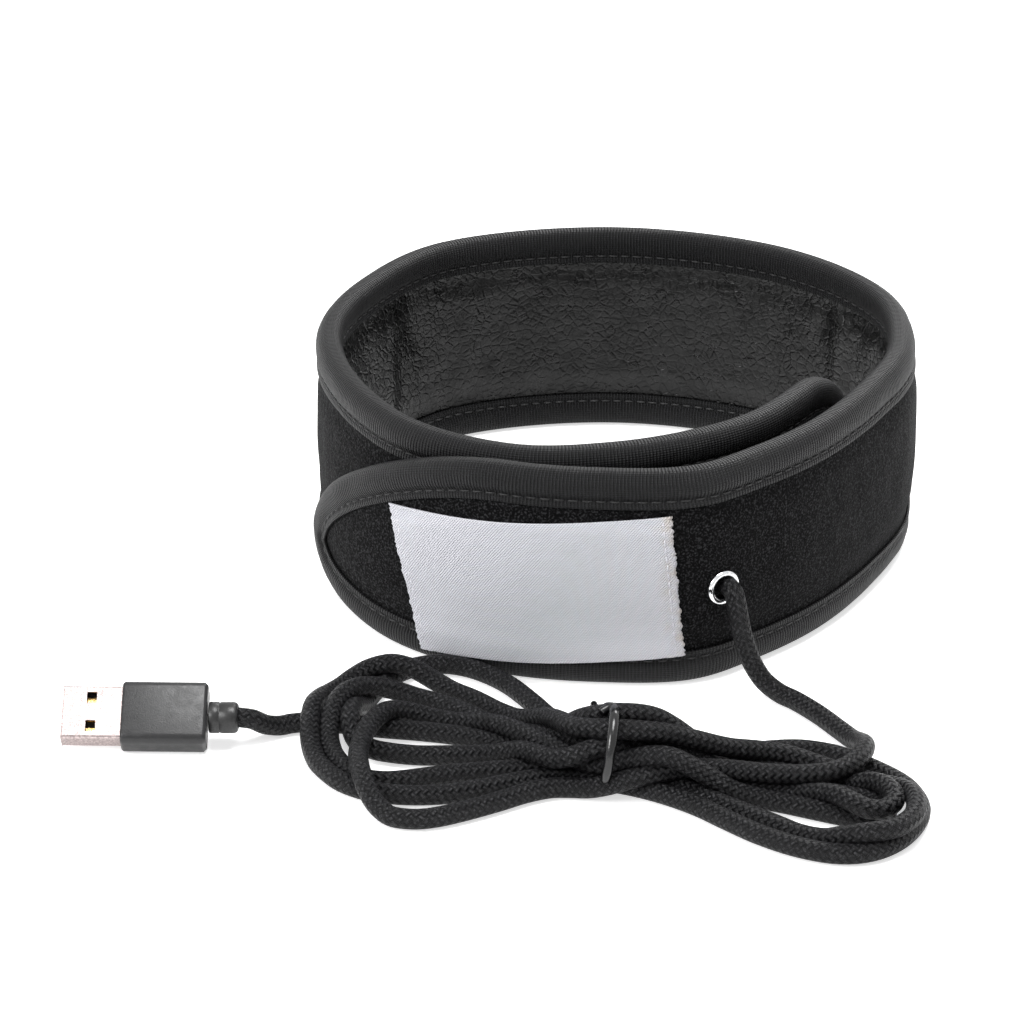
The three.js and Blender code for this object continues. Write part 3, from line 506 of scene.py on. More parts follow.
def plain(name, low, high, rough, grain=0.0006, depth=0.00003, **more):
    """A finish whose tone, gloss and surface vary a little with a fine grain."""
    f = Finish(name, low, rough, **more)
    grain_and_highlight = f.noise(grain, 3)
    f.colour(f.span(grain_and_highlight, 0.35, 0.68), low, high)
    f.put(f.skin, "Roughness", f.span(f.noise(grain * 6, 3), 0.3, 0.7, rough * 0.85, min(1, rough * 1.15)))
    f.bump(grain_and_highlight, depth)
    return f.mat


def rolled_steel():
    f = Finish("nickel", (0.5, 0.47, 0.5), 0.34, Metallic=1.0)
    f.colour(f.span(f.noise(0.0004, 3), 0.35, 0.7), (0.3, 0.25, 0.245), (0.52, 0.44, 0.43))
    f.put(f.skin, "Roughness", f.span(f.noise(0.002, 3), 0.3, 0.7, 0.26, 0.42))
    f.bump(f.noise(0.0004, 2), 0.00003)
    f.bump(f.noise(0.0025, 2, (0.15, 1, 1)), 0.00005)
    return f.mat


FINISH = {
    "velour": velour(), "leather": leather(), "tape": tape(), "braid": braid(), "label": woven(),
    "foam": plain("foam", (0.1, 0.1, 0.11), (0.2, 0.2, 0.21), 0.95, 0.0009, 0.0003),
    "copper": plain("copper", (0.5, 0.2, 0.1), (0.72, 0.34, 0.2), 0.35, Metallic=1.0),
    "film": plain("film", (0.42, 0.18, 0.03), (0.55, 0.27, 0.06), 0.3),
    "hook": plain("hook", (0.006, 0.006, 0.006), (0.05, 0.05, 0.05), 0.7, 0.0007, 0.0005),
    "chrome": plain("chrome", (0.72, 0.73, 0.75), (0.86, 0.86, 0.87), 0.12, 0.0009, 0.000012, Metallic=1.0),
    "red": plain("red", (0.4, 0.01, 0.01), (0.55, 0.02, 0.015), 0.4),
    "black": plain("black", (0.004, 0.004, 0.004), (0.01, 0.01, 0.01), 0.4, 0.0004, 0.00003),
    "solder": plain("solder", (0.5, 0.5, 0.5), (0.7, 0.7, 0.68), 0.3, Metallic=1.0),
    "tie": plain("tie", (0.003, 0.003, 0.003), (0.006, 0.006, 0.007), 0.2, 0.0015, 0.00008),
    "anodised": plain("anodised", (0.004, 0.004, 0.0045), (0.009, 0.009, 0.01), 0.38, 0.0003, 0.00003),
    "nickel": rolled_steel(),
    "gold": plain("gold", (0.75, 0.5, 0.18), (0.9, 0.66, 0.3), 0.25, Metallic=1.0),
    "thread": plain("thread", (0.002, 0.002, 0.002), (0.02, 0.02, 0.021), 0.6, 0.0003, 0.00005),
    "white_thread": plain("white_thread", (0.6, 0.6, 0.66), (0.8, 0.8, 0.84), 0.7, 0.0003, 0.00005),
}
SLOT_OF = {row["node"]: row["material_slot"] for row in frame["record"]["subparts"]}
for name, node in nodes.items():
    finish = FINISH[SLOT_OF[name]]
    if not node.material_slots:
        node.data.materials.append(finish)
    for held in node.material_slots:
        held.material = finish


# The cord comes first: out of the eyelet, in and out of the hank, and into the plug's collar.
CORD = [
    (24.4, -62.5, 22.2), (25.8, -66.2, 22.2), (26.5, -68.1, 21.9), (27.4, -69.6, 18),
    (28.3, -70.2, 13.7), (30.3, -71.3, 7.8), (32.4, -72.5, 4.5), (33.7, -73.3, 3.3),
    (36.6, -75.6, 2.1), (39.5, -78.3, 2), (44.3, -84.5, 2), (48.5, -91.2, 2), (51.2, -96.4, 2.5),
    (52.5, -99.8, 3.8), (53.1, -103.4, 5.2), (52.8, -107.2, 6.1), (51.5, -110.9, 6.3),
    (49.2, -114, 6.1), (46.1, -116.3, 6), (42.4, -117.6, 6.1), (38.5, -118.1, 6.1),
    (32.7, -117.6, 6), (25.1, -115.8, 5.8), (19.2, -115.2, 5.7), (15.2, -115.7, 5.8),
    (9.4, -117.5, 5.8), (5.6, -118.5, 5.2), (-0, -118.6, 3.4), (-3.7, -117.9, 2.3),
    (-7.6, -117.3, 2), (-11.4, -117.5, 2), (-16.7, -119.8, 2), (-21.5, -123, 2), (-29.8, -127.9, 2),
    (-35.1, -130.3, 2), (-38.8, -131, 2), (-42.6, -130.4, 2), (-44.3, -129.5, 2.1),
    (-46.9, -126.9, 3.2), (-48.7, -123.7, 4.6), (-49.9, -120.1, 5.7), (-51, -114.3, 5.9),
    (-51.2, -108.3, 5.5), (-50.5, -102.4, 5.7), (-49.5, -98.5, 6), (-47.1, -93.2, 5.9),
    (-45.9, -91.6, 5.6), (-43, -89.4, 4.4), (-39.4, -88.4, 3), (-35.6, -88.8, 2.2),
    (-32, -90.1, 2.3), (-28.6, -92, 3.3), (-24, -95.5, 4.9), (-19.6, -99.6, 5.8),
    (-12.4, -107, 6.5), (-7.8, -111.2, 6.2), (-4.4, -113.4, 5.9), (-0.6, -115, 6.2),
    (5, -116.2, 8.3), (8.9, -116.9, 9.5), (12.9, -117.7, 9.6), (16.7, -118.5, 8.2),
    (22.1, -119.2, 5.1), (25.6, -119.7, 3.2), (31.3, -120.9, 2), (36.7, -123, 2), (43.8, -126, 2),
    (49, -128, 2), (52.6, -128.7, 2), (54.3, -128.2, 2), (56.6, -126, 2), (56.8, -124.3, 2),
    (55.8, -122.8, 2), (52.9, -120.9, 2), (49.4, -119.7, 2), (42.6, -116.6, 2), (35.4, -113.8, 2),
    (29.8, -112.3, 2), (24.2, -111.4, 3.1), (18.7, -111, 5.3), (13.4, -110.4, 8), (8, -109.3, 10.4),
    (4.2, -108.4, 10.9), (0.3, -107.6, 10.2), (-5, -106.2, 8), (-8.2, -104.5, 6.6),
    (-12.7, -101, 5.1), (-19.9, -94.6, 2.7), (-24.3, -90.7, 2), (-30.2, -85.4, 2),
    (-36.7, -80.9, 2), (-40.4, -79.5, 2.3), (-44.1, -79.1, 3.4), (-45.9, -79.4, 4.1),
    (-49.5, -80.6, 5.5), (-52.6, -82.8, 6.4), (-55.2, -85.8, 6.7), (-57, -89.4, 6.2),
    (-57.9, -93.1, 5.1), (-58, -98.6, 2.9), (-57.2, -102.4, 2.1), (-56, -106.1, 2),
    (-53.3, -111.1, 2), (-50.7, -113.9, 2), (-49.1, -114.8, 2), (-45.4, -115.4, 2),
    (-41.6, -114.8, 2), (-32.3, -112.2, 2), (-24.6, -110.7, 2), (-14.8, -109.4, 2),
    (-10.8, -109.1, 2.1), (-6.9, -108.8, 3.5), (-3.3, -108.4, 5.2), (0.7, -107.9, 5.7),
    (2.6, -107.8, 5.1), (6, -108.2, 3.2), (9.5, -109.6, 2), (13, -111.4, 2), (20.4, -114.2, 2),
    (30.1, -116.5, 2), (35.8, -118.3, 2), (39.3, -119.9, 2.7), (43.9, -123.1, 4.7),
    (46.6, -125.7, 5.7), (49.3, -128.5, 5.9), (52.3, -130.6, 5.5), (54.1, -130.7, 5.3),
    (55.8, -130.3, 5.2), (58, -127.5, 5.5), (58, -125.7, 5.8), (57.6, -123.9, 5.9),
    (55.7, -120.6, 5.6), (53.4, -117.9, 4.4), (50.6, -115.8, 2.9), (47.3, -114.1, 2),
    (40.2, -111.2, 2), (32.7, -108.8, 2), (26.8, -107.8, 2), (20.8, -107.6, 2.3), (15, -108, 4),
    (9.4, -109.2, 5.9), (4.3, -111.4, 8.2), (1.1, -113.2, 9.6), (-2.4, -114.8, 9.9),
    (-5.9, -115.5, 8.9), (-7.7, -115.3, 8.1), (-10.9, -113.8, 6.8), (-13.7, -111.3, 6.2),
    (-17.7, -107.3, 5.1), (-20.7, -105.4, 3.7), (-24.1, -104.2, 2.4), (-27.8, -103.9, 2),
    (-33.6, -104.2, 2), (-39.3, -104.3, 2), (-45, -103.3, 2), (-48.6, -102, 2), (-51.7, -99.8, 2.3),
    (-52.8, -98.4, 3), (-53.8, -95.3, 4.9), (-53.8, -93.5, 5.6), (-53.2, -89.7, 5.3),
    (-52.4, -86.3, 3.6), (-51.5, -82.8, 2.2), (-50.5, -79, 2), (-48.4, -73.5, 2), (-45.3, -68.5, 2),
    (-42.5, -65.8, 2), (-39, -64.1, 2), (-35.2, -63.6, 2), (-33.3, -63.9, 2), (-29.7, -65.3, 2),
    (-25, -68.8, 2), (-21, -73.1, 2), (-15.6, -81.4, 2), (-12.6, -86.6, 2), (-9.9, -91.7, 2.9),
    (-8.4, -95, 4.7), (-6.2, -101.3, 9.2), (-5, -104.4, 11.4), (-2.8, -107.1, 13.4),
    (0.5, -108.7, 14.7), (2.4, -109, 15), (6.3, -108.7, 14.7), (10, -107.7, 13.3),
    (13.1, -106.7, 11), (18.8, -104.8, 5.6), (22, -103.7, 3.3), (25.6, -102.6, 2.1),
    (31.3, -100.9, 2), (37.2, -99.9, 2), (41.1, -100, 2), (46.7, -101.8, 2), (50, -103.9, 2),
    (56, -109.1, 2), (60, -113.6, 2), (62, -117.1, 2), (63.5, -122.9, 2), (63.3, -126.8, 2),
    (62.2, -130.7, 2), (59.4, -136, 2), (56.8, -139, 2), (53.7, -141.3, 2), (50, -142.7, 2),
    (46, -142.9, 2), (42.1, -142, 2), (36.7, -139.6, 2), (30.1, -135.1, 2), (24.2, -129.8, 2),
    (18.5, -124.4, 2), (12.1, -119.8, 2), (5.2, -116.3, 2), (-2.1, -114, 2), (-7.7, -113.1, 2),
    (-11.6, -113.1, 2), (-17.1, -114.6, 2), (-24.3, -117.6, 2), (-31.6, -120.2, 2),
    (-37.4, -121.1, 2), (-43.3, -120.9, 2), (-49, -119.4, 2), (-52.4, -117.5, 2),
    (-55.4, -114.9, 2), (-58.7, -110, 2), (-60.3, -106.4, 2), (-61.7, -100.8, 2.7),
    (-62.1, -97, 4.1), (-62.1, -93.2, 5.3), (-61.7, -89.3, 5.7), (-60.4, -83.6, 4.4),
    (-59, -80, 3.4), (-56.9, -76.6, 3.1), (-54.3, -73.8, 3.9), (-51.1, -71.8, 5),
    (-47.3, -70.8, 5.7), (-45.4, -70.7, 5.7), (-41.5, -71.2, 4.8), (-38.1, -72.5, 3.4),
    (-33.2, -75.6, 2), (-28.5, -79.4, 2), (-22.8, -85, 2), (-18.9, -89.4, 2.9), (-16.5, -92.3, 4.4),
    (-12.3, -98.2, 7.9), (-9.9, -103.3, 10), (-7.4, -108.5, 11.6), (-4.9, -111.3, 12.7),
    (-1.5, -113, 13.5), (2.3, -113.6, 13.7), (6.3, -113.4, 13.4), (12.2, -112.4, 12.2),
    (17.7, -111, 10.1), (24.9, -108.8, 7.1), (30.7, -107.4, 5.8), (36.7, -107.2, 4.8),
    (42.6, -108.2, 3.3), (46.4, -109.4, 2.5), (51.9, -112.1, 2), (55.1, -114.5, 2.4),
    (59.1, -118.9, 3.9), (61, -122.3, 5), (62.1, -126.1, 5.7), (62.3, -130, 5.9),
    (61.4, -133.9, 5.8), (59.3, -137.2, 5.8), (57.9, -138.6, 5.8), (54.5, -140.3, 5.9),
    (50.7, -140.6, 5.4), (47, -139.8, 4.3), (43.7, -138.4, 2.9), (38.9, -135.3, 2),
    (34.2, -131.7, 2), (26.4, -125.7, 2), (20.2, -120.9, 2), (14, -116.2, 2), (7, -112.8, 2),
    (0.3, -108.8, 2), (-4.6, -105.7, 2), (-10.1, -103.8, 2), (-17.5, -101.5, 2), (-24.5, -98.2, 2),
    (-31.8, -95.4, 2), (-39.5, -93.8, 2), (-47.2, -92.7, 2), (-56.9, -90.8, 2), (-62.8, -90.4, 2),
    (-66.7, -91.2, 2), (-68.4, -92, 2), (-71.5, -94.1, 3.3), (-74.2, -96, 5.6), (-76, -96.6, 6.2),
    (-80, -96.6, 6.6),
]
CORD_DIAMETER = 4.0
cord_line = spline(CORD, 0.4)
cord_line = resample(cord_line, 0.8)
cord = tube("braided_cord", cord_line, CORD_DIAMETER / 2 + 0.12, 18, FINISH["braid"])
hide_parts("cord_lead", "cord_hank", "cord_tail")


# The strip's layers.
COVER_FACE = 2.325
COVER_DEEP = 1.225
LINER_FACE = -2.325
LINER_DEEP = -1.475
LAYER_MARGIN = 3.4
PUCKERS = [(-128, 1.1, 7), (-150, 0.9, 6), (-232, 1.2, 8), (-262, 0.8, 6)]
EYELET_S = along_at(-340.5)
EYELET_Z = 22.2


def columns(margin, step=1.1):
    ends = 3 + 27 * (1 - np.cos(np.linspace(0, math.pi / 2, 26)))
    first = ends - 3 + margin
    last = L - margin - (first[::-1] - margin) * 1.9
    return np.r_[first, np.arange(first[-1] + step, last[0], step), last]


def layer(name, outer, inner, rows, material, step=1.1):
    s = columns(LAYER_MARGIN, step)
    low, high = heights(s, LAYER_MARGIN)
    share = (1 - np.cos(np.linspace(0, math.pi, rows))) / 2 * 0.5 + np.linspace(0, 1, rows) * 0.5
    z = low[:, None] + (high - low)[:, None] * share
    s = np.broadcast_to(s[:, None], z.shape)
    near = squeeze(s, z)
    front = place(s, z, outer(s, z, near))
    back = place(s, z, inner(s, z, near))
    points = np.concatenate([front, back[:, ::-1]], 1)
    v = np.r_[z[len(z) // 2], z[len(z) // 2][::-1], z[len(z) // 2][0]] / 1000
    us = np.r_[s[:, 0]] / 1000
    return grid(name, points, us, v, wrap_v=True, cap=True, material=material)


def cover_front(s, z, near):
    soft = smooth(edge_distance(s, z), 9, 16)
    hem = smooth(np.hypot(s - EYELET_S, z - EYELET_Z), 2.5, 9)
    return COVER_FACE * near + 0.2 * soft * hem * waves(s, z, 34, 3) + 0.06 * soft * waves(s, z, 9, 4)


def liner_front(s, z, near):
    soft = (near - 0.78) / 0.22
    crown = np.sin(math.pi * np.clip(z / STRIP_WIDTH, 0, 1)) ** 0.6
    lift = 0.16 * waves(s * 1.9, z * 0.6, 26, 5) + 0.07 * waves(s, z, 7, 6)
    for angle, height, half in PUCKERS:
        x = (s - along_at(angle) + 0.8 * np.sin(z / 9)) / half
        ridge = np.where(np.abs(x) < 1, (1 + np.cos(math.pi * np.clip(x, -1, 1))) / 2, 0)
        lift = lift + height * crown * (0.55 * ridge + 0.45 * ridge ** 4)
    return LINER_FACE * near - lift * soft


cover = layer("pile_cover", cover_front, lambda s, z, near: COVER_DEEP * near, 46, FINISH["velour"])
liner = layer("leather_lining", lambda s, z, near: LINER_DEEP * near, liner_front, 46, FINISH["leather"])
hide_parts("outer_cover")
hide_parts("inner_liner")

# The binding: a ribbed tape rolled over the edge, pressed in where it is sewn.
BINDING = [
    (0, 0.8), (0.25, 1.45), (0.7, 2.05), (1.3, 2.5), (2.0, 2.82), (2.8, 3.0), (3.6, 3.05), (4.4, 3.0),
    (5.0, 2.88), (5.5, 2.62), (5.9, 2.36), (6.25, 2.3), (6.6, 2.42), (6.9, 2.58), (7.4, 2.64),
    (7.85, 2.6), (8.0, 2.45), (8.0, 2.13), (6.0, 2.1), (2.8, 2.1),
]
section = np.array(BINDING + [(e, -n) for e, n in BINDING[::-1]])
rim = resample(np.vstack([whole_rim, whole_rim[:1]]), 0.75)[:-1]
rim[:, 2:] /= np.linalg.norm(rim[:, 2:], axis=1)[:, None]
rim_s = np.arange(len(rim) + 1) * 0.75
gather = 0.06 * waves(rim_s[:-1, None], section[None, :, 0] * 3 + 40 * np.sign(section[None, :, 1]), 11, 8)
depth = section[None, :, 0]
flat_s = rim[:, :1] + depth * rim[:, 2:3]
flat_z = rim[:, 1:2] + depth * rim[:, 3:4]
swell = np.sign(section[None, :, 1]) * gather * np.clip(np.abs(section[None, :, 1]) - 2.1, 0, 1)
binding_points = place(flat_s, flat_z, section[None, :, 1] + swell)
around = np.r_[0, np.cumsum(np.linalg.norm(np.diff(np.vstack([section, section[:1]]), axis=0), axis=1))]
binding = grid("binding_tape", binding_points, rim_s / 1000, around / 1000, wrap_u=True, wrap_v=True,
               material=FINISH["tape"])
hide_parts("edge_binding")


def stitches(name, middles, ways, outs, length, radius, material):
    """Sewing: a row of short rounded threads."""
    across = np.cross(outs, ways)
    turn = np.linspace(0, 2 * math.pi, 6, endpoint=False)
    round_it = across[:, None] * np.cos(turn)[:, None] + outs[:, None] * np.sin(turn)[:, None]
    steps = [(-0.5, 0.25, -0.6), (-0.34, 0.85, 0), (0, 1, 0.35), (0.34, 0.85, 0), (0.5, 0.25, -0.6)]
    rings = []
    for at, size, lift in steps:
        ring = (middles + ways * at * length + outs * lift * radius)[:, None]
        rings.append(ring + size * radius * round_it)
    points = np.stack(rings, 1)
    count, deep, wide = points.shape[:3]
    first = np.arange(count)[:, None, None] * deep * wide
    i, j = np.arange(deep - 1)[None, :, None], np.arange(wide)[None, None, :]
    k = (j + 1) % wide
    quads = np.stack([first + i * wide + j, first + i * wide + k, first + (i + 1) * wide + k,
                      first + (i + 1) * wide + j], -1).reshape(-1, 4)
    mesh = bpy.data.meshes.new(name)
    mesh.from_pydata(((points.reshape(-1, 3) - SHIFT) / 1000).tolist(), [], quads.tolist())
    mesh.polygons.foreach_set("use_smooth", [True] * len(mesh.polygons))
    mesh.materials.append(material)
    obj = bpy.data.objects.new(name, mesh)
    bpy.context.collection.objects.link(obj)
    return obj


def seam(name, flat, n, length, radius, material):
    """Stitches along a line of flat places (s, z)."""
    half = resample(flat, length * 1.25)
    middles = (half[:-1] + half[1:]) / 2
    before = place(half[:-1, 0], half[:-1, 1], n(half[:-1]))
    after = place(half[1:, 0], half[1:, 1], n(half[1:]))
    here = place(middles[:, 0], middles[:, 1], n(middles))
    sign = np.sign(n(middles))
    above = place(middles[:, 0], middles[:, 1], n(middles) + 0.5 * sign)
    ways = after - before
    ways /= np.linalg.norm(ways, axis=1)[:, None]
    outs = above - here
    outs /= np.linalg.norm(outs, axis=1)[:, None]
    return stitches(name, here, ways, outs, length, radius, material)


sewn = np.vstack([rim[:, :2] + 6.25 * rim[:, 2:], rim[:1, :2] + 6.25 * rim[:1, 2:]])
outer_seam = seam("outer_seam", sewn, lambda p: 2.34 + 0 * p[:, 0], 2.3, 0.24, FINISH["thread"])
inner_seam = seam("inner_seam", sewn, lambda p: -2.34 + 0 * p[:, 0], 2.3, 0.24, FINISH["thread"])

# The label, sewn on with its two short sides folded under.
LABEL_WIDTH = 61.5
LABEL_HEIGHT = 32.6
LABEL_SLANT = 5.6
LABEL_S = along_at(-374.5)
LABEL_Z = 21.5
TILT = math.radians(-5)


def label_flat(u, v):
    a = (u - 0.5) * LABEL_WIDTH - u * (1 - v) * LABEL_SLANT
    b = (v - 0.5) * LABEL_HEIGHT
    frayed = np.interp(v, np.linspace(0, 1, 90), np.random.default_rng(2).uniform(-0.3, 0.3, 90))
    ragged = frayed * (np.exp(-u * 60) - np.exp(-(1 - u) * 60))
    a = a + ragged
    s = LABEL_S + a * math.cos(TILT) - b * math.sin(TILT)
    z = LABEL_Z + a * math.sin(TILT) + b * math.cos(TILT)
    return s, z


def label_under(s, z):
    low_edge = 1 - smooth(z, 7.5, 16)
    face = np.maximum(COVER_FACE * squeeze(s, z) + 0.1, np.where(z < 8.4, 2.65, 0))
    return face * (1 - low_edge) + 3.05 * low_edge + 0.3


def make_label():
    u = np.linspace(0, 1, 111)[:, None]
    v = np.linspace(0, 1, 121)[None, :]
    s, z = label_flat(u, v)
    near_fold = smooth(u, 0.0, 0.006) - smooth(u, 0.045, 0.06)
    far_fold = smooth(u, 0.94, 0.955) - smooth(u, 0.994, 1.0)
    fold = 0.2 * near_fold + 0.2 * far_fold
    sewn_in = np.exp(-((u - 0.028) / 0.006) ** 2) + np.exp(-((u - 0.972) / 0.006) ** 2)
    rise = fold - 0.14 * sewn_in + 0.05 * waves(s, z, 22, 9)
    base = label_under(s, z)
    front = place(s, z, base + 0.45 + rise)
    back = place(s, z, base)
    points = np.concatenate([front, back[:, ::-1]], 1)
    width = np.linspace(0, LABEL_WIDTH, 111) / 1000
    rows = np.linspace(0, LABEL_HEIGHT, 121) / 1000
    return grid("cloth_label", points, width, np.r_[rows, rows[::-1], rows[0]], wrap_v=True, cap=True,
                material=FINISH["label"])


label = make_label()
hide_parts("woven_label")


def on_label(flat):
    return label_under(flat[:, 0], flat[:, 1]) + 0.5


label_seams = []
for side, u in (("left", 0.028), ("right", 0.972)):
    line = np.stack(label_flat(u, np.linspace(0.02, 0.98, 60)), 1)
    label_seams.append(seam("label_seam_" + side, line, on_label, 1.6, 0.2, FINISH["white_thread"]))


# The eyelet: a pressed ring, turned round the strip's own outward direction.
def turned(name, profile, centre, axis, material, around=64):
    """A closed profile of (radius, height) turned round an axis."""
    axis = np.asarray(axis, float)
    axis = axis / np.linalg.norm(axis)
    side = np.cross(axis, [0, 0, 1.0]) if abs(axis[2]) < 0.9 else np.cross(axis, [1.0, 0, 0])
    side /= np.linalg.norm(side)
    other = np.cross(axis, side)
    profile = np.array(profile, float)
    turn = np.linspace(0, 2 * math.pi, around, endpoint=False)
    ring = side * np.cos(turn)[:, None] + other * np.sin(turn)[:, None]
    points = np.asarray(centre) + profile[None, :, 1, None] * axis
    points = points + profile[None, :, 0, None] * ring[:, None]
    loop = lengths(np.vstack([profile, profile[:1]]))
    return grid(name, points, np.linspace(0, 0.02, around + 1), loop / 1000, wrap_u=True, wrap_v=True,
                material=material)


eyelet_at = place(EYELET_S, EYELET_Z, COVER_FACE)
eyelet_out = place(EYELET_S, EYELET_Z, COVER_FACE + 1) - eyelet_at
EYELET = [
    (2.3, -3.0), (2.7, -3.0), (2.7, 0.3), (3.2, 0.36), (3.75, 0.42), (3.9, 0.52), (3.92, 0.7), (3.84, 0.95),
    (3.65, 1.16), (3.4, 1.3), (3.1, 1.36), (2.85, 1.3), (2.62, 1.12), (2.45, 0.86), (2.34, 0.5), (2.3, 0.1),
]
eyelet = turned("pressed_eyelet", EYELET, eyelet_at, eyelet_out, FINISH["chrome"])
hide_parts("eyelet")

# The tie: a coated wire round the waist of the hank, twisted once, with its tail on the floor.
ring_turn = np.linspace(0, 2 * math.pi, 49)[:-1]
ring_radius = 7.8
ring_line = np.stack([
    0.2 + 1.1 * np.cos(ring_turn),
    WAIST_Y - ring_radius * np.sin(ring_turn),
    WAIST_Z + 0.7 + ring_radius * np.cos(ring_turn),
], 1)


def hoop(name, line, radius, around, material):
    """A closed round bar."""
    tangent = np.roll(line, -1, axis=0) - np.roll(line, 1, axis=0)
    tangent /= np.linalg.norm(tangent, axis=1)[:, None]
    side = np.cross(tangent, [1.0, 0, 0])
    side /= np.linalg.norm(side, axis=1)[:, None]
    other = np.cross(tangent, side)
    turn = np.linspace(0, 2 * math.pi, around, endpoint=False)
    ring = side[:, None] * np.cos(turn)[:, None] + other[:, None] * np.sin(turn)[:, None]
    points = line[:, None] + radius * ring
    step = 2 * math.pi * ring_radius / len(line)
    return grid(name, points, np.arange(len(line) + 1) * step / 1000, np.linspace(0, 0.007, around + 1),
                wrap_u=True, wrap_v=True, material=material)


tie = hoop("tie_ring", ring_line, 1.1, 16, FINISH["tie"])
tail_line = resample(spline([
    (2.6, -108.5, 14.9), (1.2, -107.4, 15.6), (-0.2, -106.5, 15.2), (-0.6, -104.6, 13.4),
    (-0.9, -101, 10.4), (-1.4, -95.5, 6.6), (-2, -90, 3.9), (-2.5, -84.5, 1.9), (-3, -79.3, 1.0),
], 0.3), 0.6)
tie_tail = tube("tie_tail", tail_line, 0.85, 14, FINISH["tie"])
twist_line = resample(spline([
    (-1.4, -110.6, 16.0), (0.4, -109.2, 16.4), (2.2, -108.2, 15.8), (3.1, -107.6, 14.2),
    (2.9, -107.4, 12.4),
], 0.3), 0.5)
tie_twist = tube("tie_twist", twist_line, 0.95, 14, FINISH["tie"])
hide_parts("twist_tie")

# The plug: its sleeve and collar are drawn again with their chamfers and rounds.
ROLL = math.radians(36)
PLUG_Y = -96.6
PLUG_Z = 5.3 * math.sin(ROLL) + 1.6 * math.cos(ROLL) + 1.8
PLUG_AT = np.array([PLUG_MOUTH_X, PLUG_Y, PLUG_Z])
PLUG_AXES = np.array([[1, 0, 0], [0, math.cos(ROLL), math.sin(ROLL)], [0, -math.sin(ROLL), math.cos(ROLL)]])


def plug_point(x, y, z):
    return PLUG_AT + np.stack(np.broadcast_arrays(x, y, z), -1) @ PLUG_AXES


def rounded(width, height, corner, count=9):
    """A rounded rectangle's loop of (y, z)."""
    loop = []
    for k, (sy, sz) in enumerate(((1, 1), (-1, 1), (-1, -1), (1, -1))):
        a = np.radians(90 * k + np.linspace(0, 90, count))
        loop.append(np.stack([sy * (width / 2 - corner) + corner * np.cos(a),
                              sz * (height / 2 - corner) + corner * np.sin(a)], 1))
    return np.vstack(loop)


def lofted(name, stations, material):
    """Rounded rectangles along the plug: x, width, height, corner. The loop of stations closes."""
    points = []
    for x, width, height, corner in stations:
        loop = rounded(width, height, corner)
        points.append(plug_point(x, loop[:, 0], loop[:, 1]))
    points = np.array(points)
    us = lengths(np.array([[s[0], s[1] / 2] for s in stations + stations[:1]]))
    vs = lengths(np.vstack([loop, loop[:1]]))
    return grid(name, points, us / 1000, vs / 1000, wrap_u=True, wrap_v=True, material=material)


SLEEVE = [
    (12.3, 12.7, 5.3, 1.1), (12.3, 13.3, 5.9, 1.4), (12.38, 13.7, 6.3, 1.6), (12.75, 14.15, 6.75, 1.8),
    (12.9, 14.2, 6.8, 1.8), (20, 14.2, 6.8, 1.8), (29.35, 14.2, 6.8, 1.8), (29.5, 14.16, 6.76, 1.8),
    (30.0, 13.3, 5.9, 1.5), (30.1, 13.1, 5.7, 1.4), (30.1, 12.6, 5.2, 1.0), (20, 12.6, 5.2, 1.0),
]
sleeve = lofted("anodised_sleeve", SLEEVE, FINISH["anodised"])
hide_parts("plug_sleeve")

COLLAR = [
    (2.25, 0), (2.7, 0), (3.1, 0.05), (3.3, 0.3), (3.3, 2.0), (3.16, 2.15), (3.16, 2.35), (3.3, 2.5),
    (3.3, 5.0), (3.22, 5.5), (3.0, 5.9), (2.7, 6.12), (2.3, 6.2), (2.25, 5.6),
]
collar = turned("cord_collar", COLLAR, plug_point(30.4, 0, 0), (1, 0, 0), FINISH["black"])
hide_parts("plug_collar")

# The rolled lip round the mouth of the shell.
lip_loop = rounded(11.9, 4.4, 0.62)
lip_points = plug_point(-0.02, lip_loop[:, 0], lip_loop[:, 1])
lip = hoop("shell_lip", lip_points, 0.16, 10, FINISH["nickel"])

pieces_made = [
    cord, cover, liner, binding, outer_seam, inner_seam, label, *label_seams, eyelet, tie, tie_tail,
    tie_twist, sleeve, collar, lip,
]
for piece in pieces_made:
    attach(piece, "root")


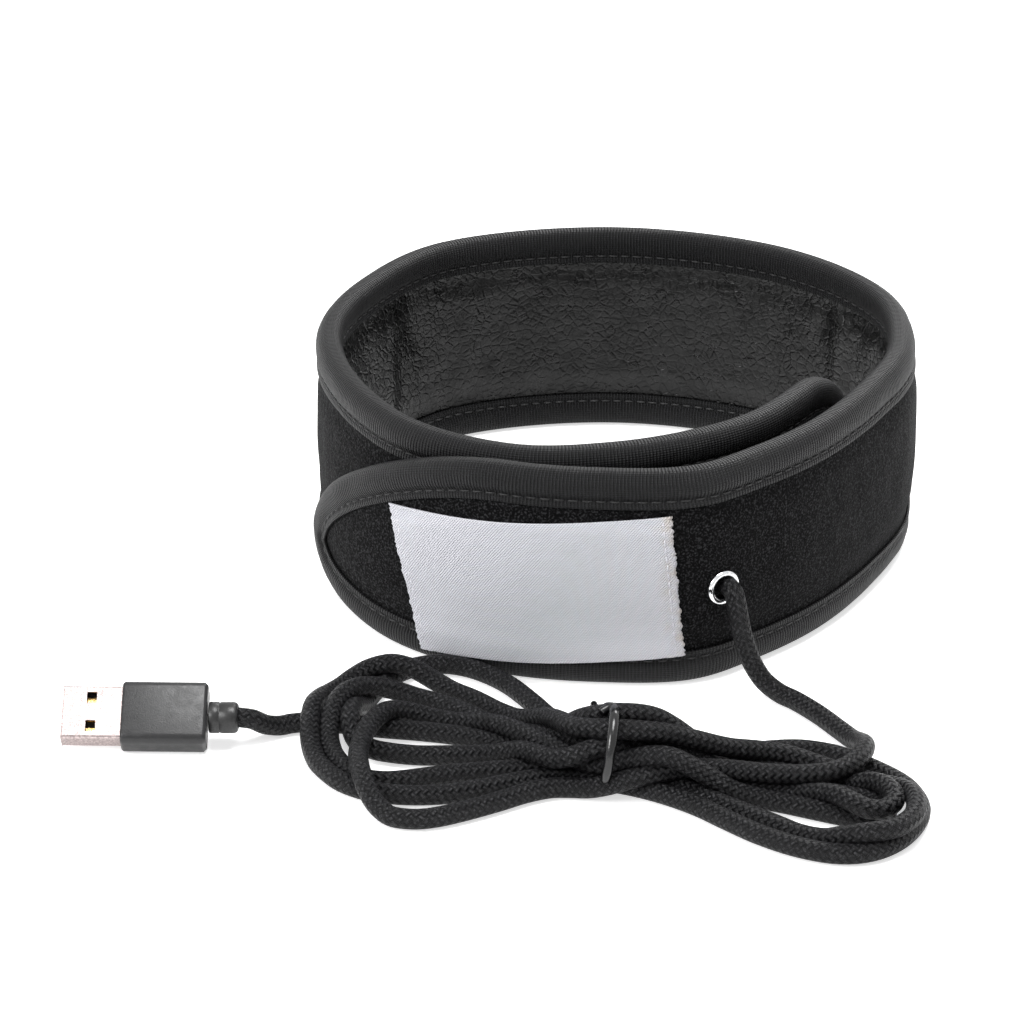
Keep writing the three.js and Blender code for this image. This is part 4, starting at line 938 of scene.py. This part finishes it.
# The studio: a white floor, an even white surround and three soft lights.
def studio():
    mesh = bpy.data.meshes.new("floor")
    mesh.from_pydata([(-4, -4, 0), (4, -4, 0), (4, 4, 0), (-4, 4, 0)], [], [(0, 1, 2, 3)])
    floor = bpy.data.objects.new("floor", mesh)
    floor.location.z = -0.0002
    bpy.context.collection.objects.link(floor)
    f = Finish("floor", (0.85, 0.85, 0.85), 0.9, Emission_Color=(1, 1, 1))
    rays = f.node("LightPath").outputs
    shown = f.math("MAXIMUM", rays["Is Camera Ray"], rays["Is Glossy Ray"])
    f.put(f.skin, "Emission Strength", f.math("MULTIPLY", shown, 0.62))
    f.put(f.skin, "Specular IOR Level", 0.1)
    mesh.materials.append(f.mat)
    world = bpy.data.worlds.new("surround")
    bpy.context.scene.world = world
    world.use_nodes = True
    sky = world.node_tree.nodes["Background"]
    sky.inputs[0].default_value = (1, 1, 1, 1)
    path_kind = world.node_tree.nodes.new("ShaderNodeLightPath")
    strength = world.node_tree.nodes.new("ShaderNodeMapRange")
    strength.inputs[3].default_value = 0.36
    strength.inputs[4].default_value = 1.0
    shown = world.node_tree.nodes.new("ShaderNodeMath")
    shown.operation = "MAXIMUM"
    world.node_tree.links.new(path_kind.outputs["Is Camera Ray"], shown.inputs[0])
    world.node_tree.links.new(path_kind.outputs["Is Glossy Ray"], shown.inputs[1])
    world.node_tree.links.new(shown.outputs[0], strength.inputs[0])
    world.node_tree.links.new(strength.outputs[0], sky.inputs[1])
    for name, spot, size, power in (
            ("top", (0.05, -0.1, 0.95), 0.5, 9), ("left", (-0.75, -0.55, 0.6), 0.45, 7),
            ("back", (0.35, 0.85, 0.55), 0.5, 6)):
        data = bpy.data.lights.new(name, "AREA")
        data.shape = "DISK"
        data.size = size
        data.energy = power
        lamp = bpy.data.objects.new(name, data)
        lamp.location = spot
        lamp.rotation_euler = (Vector((0, -0.03, 0.02)) - Vector(spot)).to_track_quat("-Z", "Y").to_euler()
        bpy.context.collection.objects.link(lamp)


studio()
bpy.context.scene.view_settings.view_transform = "Standard"
